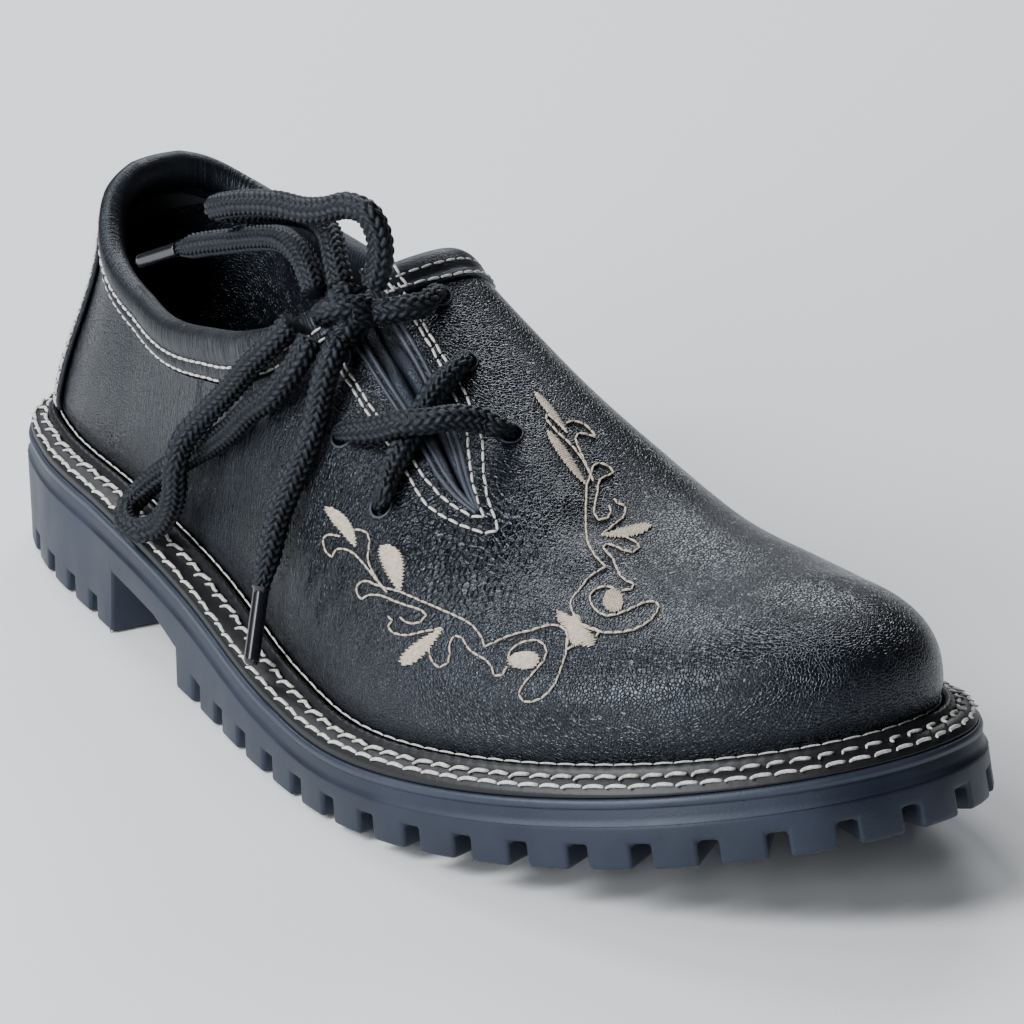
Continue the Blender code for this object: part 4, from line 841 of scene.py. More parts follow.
@dataclass(frozen=True)
class Thread:
    """Waxed sewing thread with a twisted lay."""

    name: str
    colour: Colour
    shade: Colour
    roughness: float = 0.6

    def make(self) -> bpy.types.Material:
        """Builds the material."""
        tree = Tree(self.name)
        place = tree.place()
        fibre = tree.add("ShaderNodeTexNoise", {"Vector": place, "Scale": 1500.0, "Detail": 3.0})
        tree.set(Base_Color=tree.tint(tree.ramp(fibre.outputs["Fac"], 0.35, 0.65), self.shade, self.colour),
                 Roughness=self.roughness, Normal=tree.bump(fibre.outputs["Fac"], 0.0001),
                 Sheen_Weight=0.2)
        return tree.material


@dataclass(frozen=True)
class Braid:
    """Black braided cotton; its colour is darkened into the hollows between plaits as painted shade, by the
    plaits' height kept on the mesh as plait.
    """

    name: str = "black_braid"
    # Painted shade: the dark colour laid in the hollows between plaits.
    hollow_shade: Colour = (0.0003, 0.0004, 0.0006)
    crown: Colour = (0.0095, 0.0115, 0.0165)
    roughness: float = 0.50

    def make(self) -> bpy.types.Material:
        """Builds the material."""
        tree = Tree(self.name)
        place = tree.place()
        fibre = tree.add("ShaderNodeTexNoise", {"Vector": place, "Scale": 2300.0, "Detail": 3.0})
        # Painted shade: the colour runs from the hollows' painted dark up to the crowns' colour with the
        # plaits' height.
        shade = tree.ramp(tree.painted("plait"), 0.30, 0.98)
        shade = tree.maths("MULTIPLY", shade, tree.ramp(fibre.outputs["Fac"], 0.3, 0.7, 0.55, 1.15))
        tree.set(Base_Color=tree.tint(shade, self.hollow_shade, self.crown), Roughness=self.roughness,
                 Normal=tree.bump(fibre.outputs["Fac"], 0.00018), Specular_IOR_Level=0.4,
                 Specular_Tint=COOL_SHINE)
        return tree.material


@dataclass(frozen=True)
class Plain:
    """Even finish with a faint cloud in it, for lining, aglets and the floor."""

    name: str
    colour: Colour
    roughness: float
    cloud: float = 60.0
    lift: float = 1.35
    coat: float = 0.0
    bump: float = 0.00004

    def make(self) -> bpy.types.Material:
        """Builds the material."""
        tree = Tree(self.name)
        place = tree.place()
        cloud = tree.add("ShaderNodeTexNoise", {"Vector": place, "Scale": self.cloud, "Detail": 4.0})
        lifted = tuple(min(1.0, channel * self.lift) for channel in self.colour)
        tree.set(Base_Color=tree.tint(cloud.outputs["Fac"], self.colour, lifted),
                 Roughness=self.roughness, Coat_Weight=self.coat,
                 Normal=tree.bump(cloud.outputs["Fac"], self.bump))
        return tree.material


class Finishes:
    """Every finish of the shoe, made once."""

    def __init__(self) -> None:
        """Builds all the materials."""
        self.leather = Leather().make()
        self.panel = Leather("panel_leather", roughness=0.42, depth=0.00016, pebbled=False).make()
        self.band = Leather("band_leather", depth=0.00010, roughness=0.42,
                            pebbled=False, puckered=True).make()
        # Lighter than the upper's leather: the colour paints the sheen on the tongue's rolls.
        self.tongue = Leather("tongue_leather", (0.008, 0.0095, 0.015), (0.020, 0.023, 0.036), 0.46,
                              depth=0.00022, pebbled=False).make()
        # Grey leather for the slit's folded edges and the hole rims: its colour is a painted highlight along
        # them.
        self.fold = Leather("fold_highlight_leather", (0.030, 0.034, 0.045), (0.070, 0.077, 0.095), 0.42,
                            depth=0.00010, pebbled=False).make()
        self.welt = Plain("welt_leather", (0.0040, 0.0045, 0.0060), 0.48, cloud=400.0, bump=0.00012).make()
        self.rubber = Rubber().make()
        self.rim = Rubber("pale_rubber_lip", (0.022, 0.027, 0.042), (0.034, 0.041, 0.060), 0.45).make()
        self.lining = Plain("dark_lining", (0.0120, 0.0135, 0.0150), 0.75, cloud=900.0, bump=0.00008).make()
        self.white = Thread("white_thread", (0.78, 0.77, 0.73), (0.45, 0.44, 0.41)).make()
        self.cream = Thread("cream_thread", (0.62, 0.53, 0.43), (0.42, 0.35, 0.27), 0.5).make()
        self.braid = Braid().make()
        self.aglet = Plain("aglet_sleeve", (0.006, 0.006, 0.009), 0.24, coat=0.25).make()


@dataclass(frozen=True)
class Crease:
    """A soft fold in the leather: its places as (along, girth), width and depth in metres."""

    places: tuple[tuple[float, float], ...]
    width: float
    depth: float
    side: Side = Side.LATERAL

    def depth_at(self, places: np.ndarray) -> np.ndarray:
        """How far the fold moves each place outwards; a trough is negative, with raised banks."""
        points = smooth_route([(along * LENGTH, girth) for along, girth in self.places], 0.004)
        line = LAST.at(points[:, 0], points[:, 1], 0.0, self.side)
        flat = places.reshape(-1, 3)
        near = np.all(np.abs(flat - line.mean(axis=0)) < np.ptp(line, axis=0) / 2 + 4 * self.width, axis=1)
        depth = np.zeros(len(flat))
        if not near.any():
            return depth.reshape(places.shape[:-1])
        gaps = np.linalg.norm(flat[near][:, None] - line[None], axis=2)
        nearest = np.argmin(gaps, axis=1)
        share = nearest / (len(line) - 1)
        reach = np.min(gaps, axis=1) / self.width
        trough = -np.exp(-reach**2) + 0.45 * np.exp(-((reach - 1.9) / 0.8) ** 2)
        depth[near] = self.depth * trough * np.sqrt(np.clip(np.sin(math.pi * share), 0.0, 1.0))
        return depth.reshape(places.shape[:-1])


CREASES = (
    Crease(((0.672, 0.660), (0.710, 0.640), (0.760, 0.625)), 0.0045, 0.0009),
    Crease(((0.690, 0.720), (0.706, 0.800), (0.715, 0.880)), 0.0050, 0.0006),
    Crease(((0.505, 0.350), (0.498, 0.250), (0.490, 0.150)), 0.0022, 0.0009),
    Crease(((0.450, 0.360), (0.440, 0.440), (0.430, 0.520)), 0.0014, 0.0005),
    Crease(((0.400, 0.160), (0.405, 0.300), (0.395, 0.440)), 0.0014, 0.0004),
    Crease(((0.375, 0.140), (0.378, 0.260), (0.370, 0.400)), 0.0012, 0.0003),
    Crease(((0.350, 0.160), (0.352, 0.290), (0.344, 0.400)), 0.0013, 0.0004),
    Crease(((0.325, 0.150), (0.322, 0.280), (0.315, 0.380)), 0.0012, 0.0003),
    Crease(((0.470, 0.130), (0.478, 0.250), (0.470, 0.370)), 0.0013, 0.0004),
    Crease(((0.530, 0.140), (0.540, 0.250), (0.535, 0.380)), 0.0013, 0.0004),
    Crease(((0.555, 0.120), (0.560, 0.230), (0.570, 0.350)), 0.0012, 0.0004),
    Crease(((0.585, 0.140), (0.590, 0.260), (0.600, 0.360)), 0.0014, 0.0003),
    Crease(((0.615, 0.160), (0.620, 0.260), (0.635, 0.360)), 0.0014, 0.0003),
)


def leather_relief(places: np.ndarray) -> np.ndarray:
    """Folds and the soft unevenness of the leather, in metres outwards."""
    height = sum(crease.depth_at(places) for crease in CREASES)
    flat = places.reshape(-1, 3)
    waves = np.array([noise.noise(Vector(place) * 38.0) for place in flat])
    return height + 0.00022 * waves.reshape(places.shape[:-1])


@dataclass
class Upper:
    """Leather upper with its lining side, slit and eyelets."""

    stations: int = 280
    rows: int = 110
    inner_rows: int = 18
    zones: tuple[tuple[str, float, float, float], ...] = (
        ("pebble", 0.645, 0.510, 0.024), ("wrinkle", 0.540, 0.240, 0.030), ("wrinkle", 0.360, 0.240, 0.036),
    )

    def columns(self) -> tuple[np.ndarray, np.ndarray, np.ndarray, np.ndarray]:
        """Girth lines of the mesh: foot turn, top turn, top girth and whether the top is open."""
        drop = BAND_HEIGHT + BAND_SEAT
        lowest, highest = float(LAST.foot_along.min()), float(LAST.foot_along.max())
        even = np.linspace(0.0, 1.0, self.stations + 1)
        share = 0.6 * even + 0.4 * (1 - np.cos(math.pi * even)) / 2
        stations = lowest + (highest - lowest) * share
        close = LAST.throat_along(drop)
        blend_start, blend_end = 0.35 * LENGTH, close + 0.07 * LENGTH
        ridge_start = stations[stations > blend_end][0]
        turns, girths, lengths = LAST.edge_curve(drop)
        parts = []
        for side in (Side.MEDIAL, Side.LATERAL):
            ordered = stations[:-1] if side is Side.MEDIAL else stations[:0:-1]
            foot = LAST.turn_at(ordered, side)
            side_length = LAST.share_at_side(drop, blend_start, side) * lengths[-1]
            throat_length = 0.0 if side is Side.LATERAL else lengths[-1]
            blend = np.clip((ordered - blend_start) / (blend_end - blend_start), 0, 1) * OPEN_BLEND
            place = side_length + (throat_length - side_length) * blend
            plain = ordered < blend_start
            is_open = ordered <= blend_end
            ridge_blend = (ordered - ridge_start) / (TOE_FAN - ridge_start)
            fanned = np.maximum(close + (TOE_FAN - close) * ridge_blend, close)
            spine = np.where(ridge_blend < 1, fanned, ordered)
            top = np.where(plain, foot, np.where(is_open, np.interp(place, lengths, turns),
                                                 LAST.turn_at(spine, side)))
            girth = np.where(plain, LAST.edge_girth(foot, drop),
                             np.where(is_open, np.interp(place, lengths, girths), 1.0))
            parts.append((foot, top, girth, is_open))
        foot, top, girth, is_open = (np.concatenate(column) for column in zip(*parts))
        return foot, top + np.round(foot - top), girth, is_open

    def skin(self, rows: int, columns: tuple[np.ndarray, ...]) -> tuple[np.ndarray, np.ndarray]:
        """Turns and girths of a skin's rows, from the welt up."""
        foot, top, girth, _ = columns
        low = [LAST.girth_at_height(foot, TUCK_HEIGHT * share) for share in (0.5, 1.0)]
        share = np.linspace(0.0, 1.0, rows - 2)[:, None]
        girths = np.vstack([np.zeros_like(foot), low[0], low[1] + (girth - low[1]) * share])
        return foot + (top - foot) * soft_step(girths / girth), girths

    def build(self) -> bpy.types.Object:
        """Builds the upper and cuts its slit and eyelets."""
        columns = self.columns()
        foot, _, _, is_open = columns
        turns, girths = self.skin(self.rows, columns)
        places = LAST.bare_point(turns, girths)
        outer = LAST.point(turns, girths, leather_relief(places))
        inner_turns, inner_girths = self.skin(self.inner_rows, columns)
        inner = LAST.point(inner_turns, inner_girths, -WALL)
        inset = LAST.feather_inset(foot) + FEATHER_TUCK
        outer[0] = LAST.sole_place(foot, inset, WELT_THICKNESS)
        inner[0] = LAST.sole_place(foot, inset + WALL, WELT_THICKNESS)
        under = [LAST.sole_place(foot, inset + depth, GAP)[None] for depth in (0.0, WALL)]
        ring = np.concatenate([under[0], outer, inner[::-1], under[1], under[0]])
        ring = np.concatenate([ring, ring[:, :1]], axis=1)
        piece = Bench.grid("upper_leather", ring)
        shades = {"pebble": np.zeros(ring.shape[:2]), "wrinkle": np.zeros(ring.shape[:2])}
        for name, along, girth, reach in self.zones:
            gap = np.linalg.norm(ring - LAST.at(along * LENGTH, girth), axis=2)
            shades[name] = np.maximum(shades[name], np.exp(-((gap / reach) ** 2)))
        for name, shade in shades.items():
            Bench.paint(piece, name, shade)
        self.open_ridge(piece, ring.shape, is_open)
        Bench.close(piece, 0.00003)
        Bench.cut(piece, self.slit_cutter())
        Bench.cut(piece, self.eyelet_cutter())
        Bench.smooth_by_angle(piece, 40)
        return piece

    def open_ridge(self, piece: bpy.types.Object, shape: tuple[int, ...], is_open: np.ndarray) -> None:
        """Deletes the wall faces between the two skins where the upper is closed on its ridge."""
        columns = shape[1] - 1
        row = self.rows
        closed = np.append(is_open, is_open[0])
        faces = [row * columns + i for i in range(columns) if not (closed[i] or closed[i + 1])]
        chosen = np.zeros(len(piece.data.polygons), bool)
        chosen[faces] = True
        Bench.alone(piece)
        bpy.ops.object.mode_set(mode="EDIT")
        bpy.ops.mesh.select_mode(type="FACE")
        bpy.ops.mesh.select_all(action="DESELECT")
        bpy.ops.object.mode_set(mode="OBJECT")
        piece.data.polygons.foreach_set("select", chosen)
        bpy.ops.object.mode_set(mode="EDIT")
        bpy.ops.mesh.delete(type="ONLY_FACE")
        bpy.ops.mesh.select_mode(type="VERT")
        bpy.ops.object.mode_set(mode="OBJECT")

    def slit_cutter(self) -> bpy.types.Object:
        """Wedge of the side slit, from above the collar's edge to its point."""
        along = np.linspace(SLIT[0][0], SLIT[-1][0], 40) * LENGTH
        girth = read_table(SLIT, 1, along)
        half = read_table(SLIT, 2, along) * LAST.girth_per_metre(along, girth, Side.LATERAL)
        corners = ((-1, -0.008), (1, -0.008), (1, 0.008), (-1, 0.008), (-1, -0.008))
        rows = np.stack([LAST.at(along, girth + way * half, offset) for way, offset in corners], axis=1)
        ends = [np.broadcast_to(rows[k].mean(axis=0), rows[k].shape)[None] for k in (0, -1)]
        cutter = Bench.grid("slit_cutter", np.concatenate([ends[0], rows, ends[1]]))
        Bench.close(cutter)
        return cutter

    def eyelet_cutter(self) -> bpy.types.Object:
        """Six plain punches through the upper, square to its surface."""
        punches = []
        for along, girth in EYELETS:
            low, high = (LAST.at(along * LENGTH, girth, offset) for offset in (-0.005, 0.005))
            path = np.array([low, high])
            punch = Bench.grid("punch", tube_places(path, np.full(2, EYELET_RADIUS), 20))
            Bench.close(punch)
            punches.append(punch)
        return Bench.join("eyelet_cutter", punches)


@dataclass
class Collar:
    """Padded roll along the topline."""

    stations: int = 420
    length: float = 0.34

    def build(self) -> bpy.types.Object:
        """Builds the roll from the slit round the heel to the throat."""
        start, end = LAST.share_at_slit(1), 1.0 + LAST.share_at_slit(-1)
        shares = np.linspace(start, end, self.stations)
        loop = list(COLLAR_PROFILE) + [COLLAR_PROFILE[0]]
        section = self.section(np.array(loop))
        rings = []
        for drop_share, offset in section:
            turns, girths = LAST.along_edge(float(np.clip(drop_share, 0.0, 1.0)) * BAND_HEIGHT, shares)
            ripple = self.ripple(shares, drop_share, offset)
            flat = np.exp(-(((shares - 1.0) / 0.09) ** 2)) * (offset > 0)
            rings.append(LAST.point(turns, girths, offset * (1 - 0.55 * flat) + ripple))
        rows = np.stack(rings, axis=1)
        ends = [np.broadcast_to(rows[k].mean(axis=0), rows[k].shape)[None] for k in (0, -1)]
        piece = Bench.grid("collar_roll", np.concatenate([ends[0], rows, ends[1]]))
        around = np.concatenate([shares[:1], shares, shares[-1:]])[:, None] * np.ones(rows.shape[1])
        Bench.paint(piece, "run", around * self.length)
        Bench.paint(piece, "drop", np.broadcast_to(section[:, 0] * 0.0006, around.shape))
        strength = 0.25 + 0.75 * np.exp(-(((around - 0.15) / 0.09) ** 2))
        Bench.paint(piece, "pucker", strength * (np.abs(around - 1.0) > 0.12))
        Bench.close(piece)
        return piece

    def section(self, loop: np.ndarray) -> np.ndarray:
        """Rounds the roll's section, keeping its two lower corners."""
        scaled = loop * np.array([BAND_HEIGHT, 1.0])
        path = smooth_route(scaled[:-1], BAND_HEIGHT / 18)
        path = np.vstack([path, path[:1]])
        return path / np.array([BAND_HEIGHT, 1.0])

    def ripple(self, shares: np.ndarray, drop_share: float, offset: float) -> np.ndarray:
        """Fine puckers across the roll, strongest on the lateral front stretch."""
        if offset < 0:
            return np.zeros_like(shares)
        place = shares * self.length
        coarse = np.sin(place / 0.0007 + 1.3 * np.sin(place / 0.0041))
        beat = coarse + 0.6 * np.sin(place / 0.0004 + drop_share)
        front = np.exp(-(((shares - 0.16) / 0.07) ** 2))
        depth = 0.00002 + 0.00006 * front
        return depth * beat * math.sin(math.pi * min(1.0, max(0.0, drop_share)))


@dataclass
class HeelPanel:
    """Heel stiffener panel outside the back of the upper."""

    columns: int = 90
    rows: int = 60

    def build(self) -> bpy.types.Object:
        """Builds the panel with its rounded edge."""
        turns = np.linspace(-COUNTER_TURN, COUNTER_TURN, self.columns)
        top = LAST.edge_girth(turns, BAND_HEIGHT + GAP)
        low = LAST.girth_at_height(turns, TUCK_HEIGHT / 2)
        share = np.linspace(0.0, 1.0, self.rows)[:, None]
        girths = low + (top - low) * share
        places = LAST.point(np.broadcast_to(turns, girths.shape), girths, GAP)
        piece = Bench.grid("heel_panel", places)
        Bench.alone(piece)
        bpy.ops.object.mode_set(mode="EDIT")
        bpy.ops.mesh.select_all(action="SELECT")
        bpy.ops.mesh.normals_make_consistent(inside=False)
        bpy.ops.object.mode_set(mode="OBJECT")
        Bench.modify(piece, "SOLIDIFY", thickness=COUNTER_THICKNESS, offset=1.0)
        Bench.modify(piece, "BEVEL", width=0.0004, segments=2, limit_method="ANGLE",
                     angle_limit=math.radians(50))
        Bench.smooth_by_angle(piece, 50)
        return piece


@dataclass
class Tongue:
    """Bellows tongue under the side slit, with two puffy rolls and a dark crease."""

    rows: int = 160
    across: int = 110
    puff: float = 0.0032

    def build(self) -> bpy.types.Object:
        """Builds the tongue."""
        along = np.linspace(TONGUE_START, TONGUE_END, self.rows)[:, None]
        girth = read_table(SLIT, 1, along)
        half = read_table(SLIT, 2, along)
        per_metre = LAST.girth_per_metre(along, girth, Side.LATERAL)
        share = np.linspace(-1.0, 1.0, self.across)[None, :]
        places = np.sign(share) * np.abs(share) ** 1.4 * TONGUE_HALF_WIDTH
        inside = np.clip(half - 0.0001, 0.0006, None)
        ratio = np.clip(np.abs(places) / inside, 0, 1)
        puff = np.clip(1 - np.abs(2 * ratio - 1) ** 2.8, 0, 1) ** 0.5
        under_band = soft_step((along - LAST.throat_along(BAND_HEIGHT)) / 0.012)
        roll = self.puff * puff * np.minimum(1.0, inside / 0.0022) * (0.35 + 0.65 * under_band)
        depth = WALL + TONGUE_SEAT + (BAND_DEPTH - WALL) * (1 - under_band)
        spots = girth + places * per_metre
        lengths = np.broadcast_to(along, spots.shape)
        top = LAST.at(lengths, spots, -depth + roll)
        bottom = LAST.at(lengths, spots, -depth + roll - TONGUE_THICKNESS - roll * 0.6)
        ring = np.concatenate([top, bottom[:, ::-1], top[:, :1]], axis=1)
        ends = [np.broadcast_to(ring[k].mean(axis=0), ring[k].shape)[None] for k in (0, -1)]
        piece = Bench.grid("tongue_leather", np.concatenate([ends[0], ring, ends[1]]))
        Bench.close(piece)
        return piece


@dataclass
class SlitTrim:
    """Folded leather edges beside the slit, and the rims of the lace holes."""

    strips: tuple[tuple[float, float, float], ...] = ((-0.0004, -0.0003, 0.0006), (0.0011, 0.0000, 0.0005))

    def folds(self) -> bpy.types.Object:
        """Builds the four strips, each drawn in towards the slit's point."""
        along = np.linspace(0.456, 0.650, 90) * LENGTH
        girth = read_table(SLIT, 1, along)
        per_metre = LAST.girth_per_metre(along, girth, Side.LATERAL)
        pieces = []
        for way in (-1, 1):
            for beside, offset, radius in self.strips:
                closing = np.clip((0.655 * LENGTH - along) / (0.05 * LENGTH), 0, 1) ** 0.5
                half = (read_table(SLIT, 2, along) + beside) * closing
                path = LAST.at(along, girth + way * half * per_metre, offset)
                pieces.append(Bench.grid("fold", tube_places(path, np.full(len(path), radius), 10)))
                Bench.close(pieces[-1])
        return Bench.join("slit_folds", pieces)

    def rims(self) -> bpy.types.Object:
        """Builds a turned rim round each lace hole."""
        rims = []
        for along, girth in EYELETS:
            place, normal = LAST.facing(LAST.turn_at(np.array(along * LENGTH), Side.LATERAL), np.array(girth))
            turned = Vector(normal).to_track_quat("Z", "Y").to_euler()
            bpy.ops.mesh.primitive_torus_add(
                location=place, rotation=turned, major_radius=EYELET_RADIUS + 0.0001,
                minor_radius=0.0003, major_segments=28, minor_segments=8)
            rim = bpy.context.active_object
            bpy.ops.object.transform_apply(location=True, rotation=True, scale=True)
            bpy.ops.object.shade_smooth()
            rims.append(rim)
        return Bench.join("hole_rims", rims)


@dataclass
class LiningPatch:
    """Stiff lining patch inside the back of the shoe."""

    half_turn: float = 0.058
    columns: int = 70
    rows: int = 30

    def build(self) -> bpy.types.Object:
        """Builds the patch against the inner skin."""
        turns = np.linspace(-self.half_turn, self.half_turn, self.columns)
        sag = 0.0035 * (turns / self.half_turn) ** 2
        top = LAST.edge_girth(turns, BAND_HEIGHT + 0.0012)
        per_metre = (top - LAST.edge_girth(turns, BAND_HEIGHT + 0.0022)) / 0.001
        share = np.linspace(0.0, 1.0, self.rows)[:, None]
        girths = 0.25 + (top - sag * per_metre - 0.25) * share
        places = LAST.point(np.broadcast_to(turns, girths.shape), girths, -WALL - 0.0004)
        piece = Bench.grid("lining_patch", places)
        Bench.modify(piece, "SOLIDIFY", thickness=0.0008, offset=0.0)
        Bench.modify(piece, "BEVEL", width=0.0003, segments=2, limit_method="ANGLE",
                     angle_limit=math.radians(50))
        Bench.smooth_by_angle(piece, 50)
        return piece


def welt_edge_height(turns: np.ndarray) -> np.ndarray:
    """Height of the welt's worn-down outer edge, lowest at the toe."""
    at_toe = np.exp(-(((turns - 0.5) / WELT_TOE_REACH) ** 2))
    return WELT_THICKNESS - WELT_EDGE_DROP - WELT_TOE_DROP * at_toe


def welt_height(turns: np.ndarray, share: float) -> np.ndarray:
    """Height of the welt's top at a share of its width, which rises from its outer edge."""
    low = welt_edge_height(turns)
    return low + (WELT_THICKNESS - low) * min(1.0, share / WELT_SLOPE_SHARE)


@dataclass
class Welt:
    """Leather strip round the shoe with a rounded ridge against the upper."""

    stations: int = 700

    def build(self) -> bpy.types.Object:
        """Builds the strip."""
        turns = np.linspace(0.0, 1.0, self.stations + 1)
        reach = LAST.feather_inset(turns)
        edge = np.full_like(turns, SIDE_FLARE + GAP)
        crown = WELT_THICKNESS + WELT_RIDGE
        flat_end = reach - RIDGE_LOOK
        low = welt_edge_height(turns)
        profile = [(edge, GAP), (edge - 0.0001, low * 0.5), (edge, low - 0.0005),
                   (edge + 0.0003, low - 0.0001)]
        for share in (0.15, 0.35, 0.6, 0.9):
            profile.append((edge + (flat_end - edge) * share, welt_height(turns, share)))
        profile.append((flat_end, WELT_THICKNESS - 0.0004))
        for share in np.linspace(0.08, 0.92, 8):
            rise = (WELT_RIDGE + 0.0002) * math.sin(math.pi * share) ** 0.6
            profile.append((flat_end + RIDGE_LOOK * share, WELT_THICKNESS - 0.0002 + rise))
        profile += [(reach - 0.0001, WELT_THICKNESS - 0.0003),
                    (reach + FEATHER_TUCK - GAP, WELT_THICKNESS * 0.7), (reach + FEATHER_TUCK - GAP, GAP)]
        crown_ripple = 0.00012 * np.sin(turns * 2 * math.pi * 210) * (reach > 0)
        rows = []
        for inset, height in profile:
            lift = crown_ripple if np.max(height) > crown - 0.0008 else 0.0
            rows.append(LAST.sole_place(turns, inset, height + lift))
        rows.append(rows[0])
        piece = Bench.grid("welt_strip", np.stack(rows, axis=1))
        Bench.close(piece)
        Bench.smooth_by_angle(piece, 50)
        return piece


@dataclass
class Outsole:
    """Rubber unit: the CAD solid with its moulded edges rounded."""

    rounding: float = 0.0009

    def build(self, node: bpy.types.Object) -> bpy.types.Object:
        """Copies the CAD solid and rounds its edges."""
        Bench.alone(node)
        bpy.ops.object.duplicate()
        piece = bpy.context.active_object
        piece.name = "rubber_unit"
        for key in [key for key in piece.keys() if key.startswith("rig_")]:
            del piece[key]
        piece.parent = None
        Bench.alone(piece)
        bpy.ops.object.mode_set(mode="EDIT")
        bpy.ops.mesh.select_all(action="SELECT")
        bpy.ops.mesh.remove_doubles(threshold=0.00002)
        bpy.ops.mesh.tris_convert_to_quads(face_threshold=math.radians(4), shape_threshold=math.radians(60))
        bpy.ops.object.mode_set(mode="OBJECT")
        Bench.modify(piece, "BEVEL", width=self.rounding, segments=3, limit_method="ANGLE",
                     angle_limit=math.radians(32), use_clamp_overlap=False)
        Bench.smooth_by_angle(piece, 34)
        return piece

    def rim(self) -> bpy.types.Object:
        """Builds the paler lip that runs round the top of the rubber's side."""
        turns = np.linspace(0.0, 1.0, 701)
        profile = ((0.0009, -0.0020), (0.0003, -0.0019), (0.0001, -0.0010), (0.0003, -0.0002),
                   (0.0010, 0.0001), (0.0014, -0.0005), (0.0009, -0.0020))
        rows = [LAST.sole_place(turns, SIDE_FLARE * 0.6 + inset - 0.0003, height)
                for inset, height in profile]
        piece = Bench.grid("rubber_lip", np.stack(rows, axis=1))
        Bench.close(piece)
        return piece


@dataclass
class Lace:
    """Round braided lace: held crossings, the knot, and the bow's loops and ends."""

    strands: int = 10
    lead: float = 0.0190
    plait: float = 0.00052
    sides: int = 60
    step: float = 0.00031
    tip_taper: float = 0.0080
    pinch: float = 0.0014

    def height(self, angles: np.ndarray, lengths: np.ndarray) -> np.ndarray:
        """Height of the plaits from 0 to 1: two families of strands, over two and under two."""
        one = self.strands * (angles / (2 * math.pi) + lengths / self.lead)
        two = self.strands * (angles / (2 * math.pi) - lengths / self.lead)
        crowns = []
        for mine, other, start in ((one, two, 0.5), (two, one, -1.5)):
            travelled = np.mod(np.round(mine) + other + start, 4) / 2
            floating = np.sin(math.pi * np.clip(travelled, 0, 1)) ** 0.5
            crowns.append(np.cos(math.pi * (mine - np.round(mine))) ** 0.8 * floating)
        return np.maximum(*crowns)

    def braid(self, name: str, path: np.ndarray, radii: np.ndarray | float) -> bpy.types.Object:
        """Builds one stretch of braided lace along a path."""
        path = respaced(path, self.step)
        given = np.linspace(0, 1, np.size(radii))
        radii = np.interp(np.linspace(0, 1, len(path)), given, np.atleast_1d(radii))
        places = tube_places(path, radii - self.plait, self.sides,
                             lambda angles, lengths: self.plait * 1.3 * self.height(angles, lengths))
        lengths = np.arange(len(path))[:, None] * self.step
        angles = np.linspace(0.0, 2 * math.pi, self.sides + 1)[None, :]
        heights = self.height(angles, lengths)
        piece = Bench.grid(name, places)
        # The plaits' height, which the braid's finish reads to paint shade into the hollows.
        Bench.paint(piece, "plait", np.concatenate([heights[:1], heights, heights[-1:]]))
        Bench.close(piece)
        return piece

    def bar(self, name: str, stops: Sequence[Sequence[float]], both_ends: bool = True) -> bpy.types.Object:
        """Builds a held stretch that dips through its eyelets, or runs into the knot."""
        seat = LACE_RADIUS + GAP
        places = [LAST.at(along * LENGTH, girth, seat + rise * (2 * LACE_RADIUS - LACE_NESTING))
                  for along, girth, rise in stops]
        for end in ((0, -1) if both_ends else (0,)):
            along, girth = stops[end][:2]
            deep, hole, mouth = (LAST.at(along * LENGTH, girth, offset)
                                 for offset in (-0.0045, -LACE_DIP, 0.0008))
            places[end] = mouth
            places = [deep, hole] + places if end == 0 else places + [hole, deep]
        if not both_ends:
            places.append(np.array(KNOT_CENTRE) + np.array((0.0022, -0.0022, -0.0004)))
        path = smooth_route(places, self.step)
        from_end = np.linalg.norm(path - path[0], axis=1)
        if both_ends:
            from_end = np.minimum(from_end, np.linalg.norm(path - path[-1], axis=1))
        share = soft_step((from_end - 0.0040) / 0.0085)
        return self.braid(name, path, self.pinch + (LACE_RADIUS - self.pinch) * share)

    def knot(self) -> bpy.types.Object:
        """Builds the bow's knot: one turn of lace drawn tight round the strands."""
        centre = np.array(KNOT_CENTRE)
        across = np.array((0.70, -0.70, 0.10))
        across /= np.linalg.norm(across)
        front = np.array((-0.60, -0.62, 0.50))
        front -= across * np.dot(front, across)
        front /= np.linalg.norm(front)
        up = np.cross(across, front)
        turns = np.linspace(0.0, 1.18, 60) * 2 * math.pi
        wrap = [centre + across * 0.0047 * math.cos(turn) + front * 0.0034 * math.sin(turn)
                + up * 0.0011 * (turn / math.pi - 1) for turn in turns]
        core = [centre + up * step + across * 0.0008 * math.sin(step * 700)
                for step in np.linspace(-0.0062, 0.0062, 24)]
        pieces = [self.braid("knot_wrap", np.array(wrap), 0.0025),
                  self.braid("knot_core", np.array(core), 0.0034)]
        return Bench.join("lace_knot_braid", pieces)

    def build(self, finishes: Finishes) -> None:
        """Builds and dresses every stretch of lace."""
        crossing = Bench.join("lace_crossing", [self.bar("under", UNDER_BAR), self.bar("over", OVER_BAR)])
        Bench.wear(crossing, finishes.braid, "lace", "lace_bars")
        Bench.wear(self.bar("lace_top_stretch", TOP_BAR, False), finishes.braid, "lace", "lace_bar_top")
        Bench.wear(self.knot(), finishes.braid, "lace", "lace_knot")
        for name, route in LACE_ROUTES.items():
            path = smooth_route(route, self.step)
            to_end = np.arange(len(path))[::-1] * self.step
            taper = 1 - soft_step(to_end / self.tip_taper) if name.startswith("lace_end") else 0.0
            radii = LACE_RADIUS - (LACE_RADIUS - AGLET_RADIUS) * taper * np.ones(len(path))
            piece = self.braid(f"{name}_braid", path, radii)
            Bench.wear(piece, finishes.braid, "lace", name)
            if name.startswith("lace_end"):
                self.sleeve(name.replace("lace_end", "aglet"), finishes)

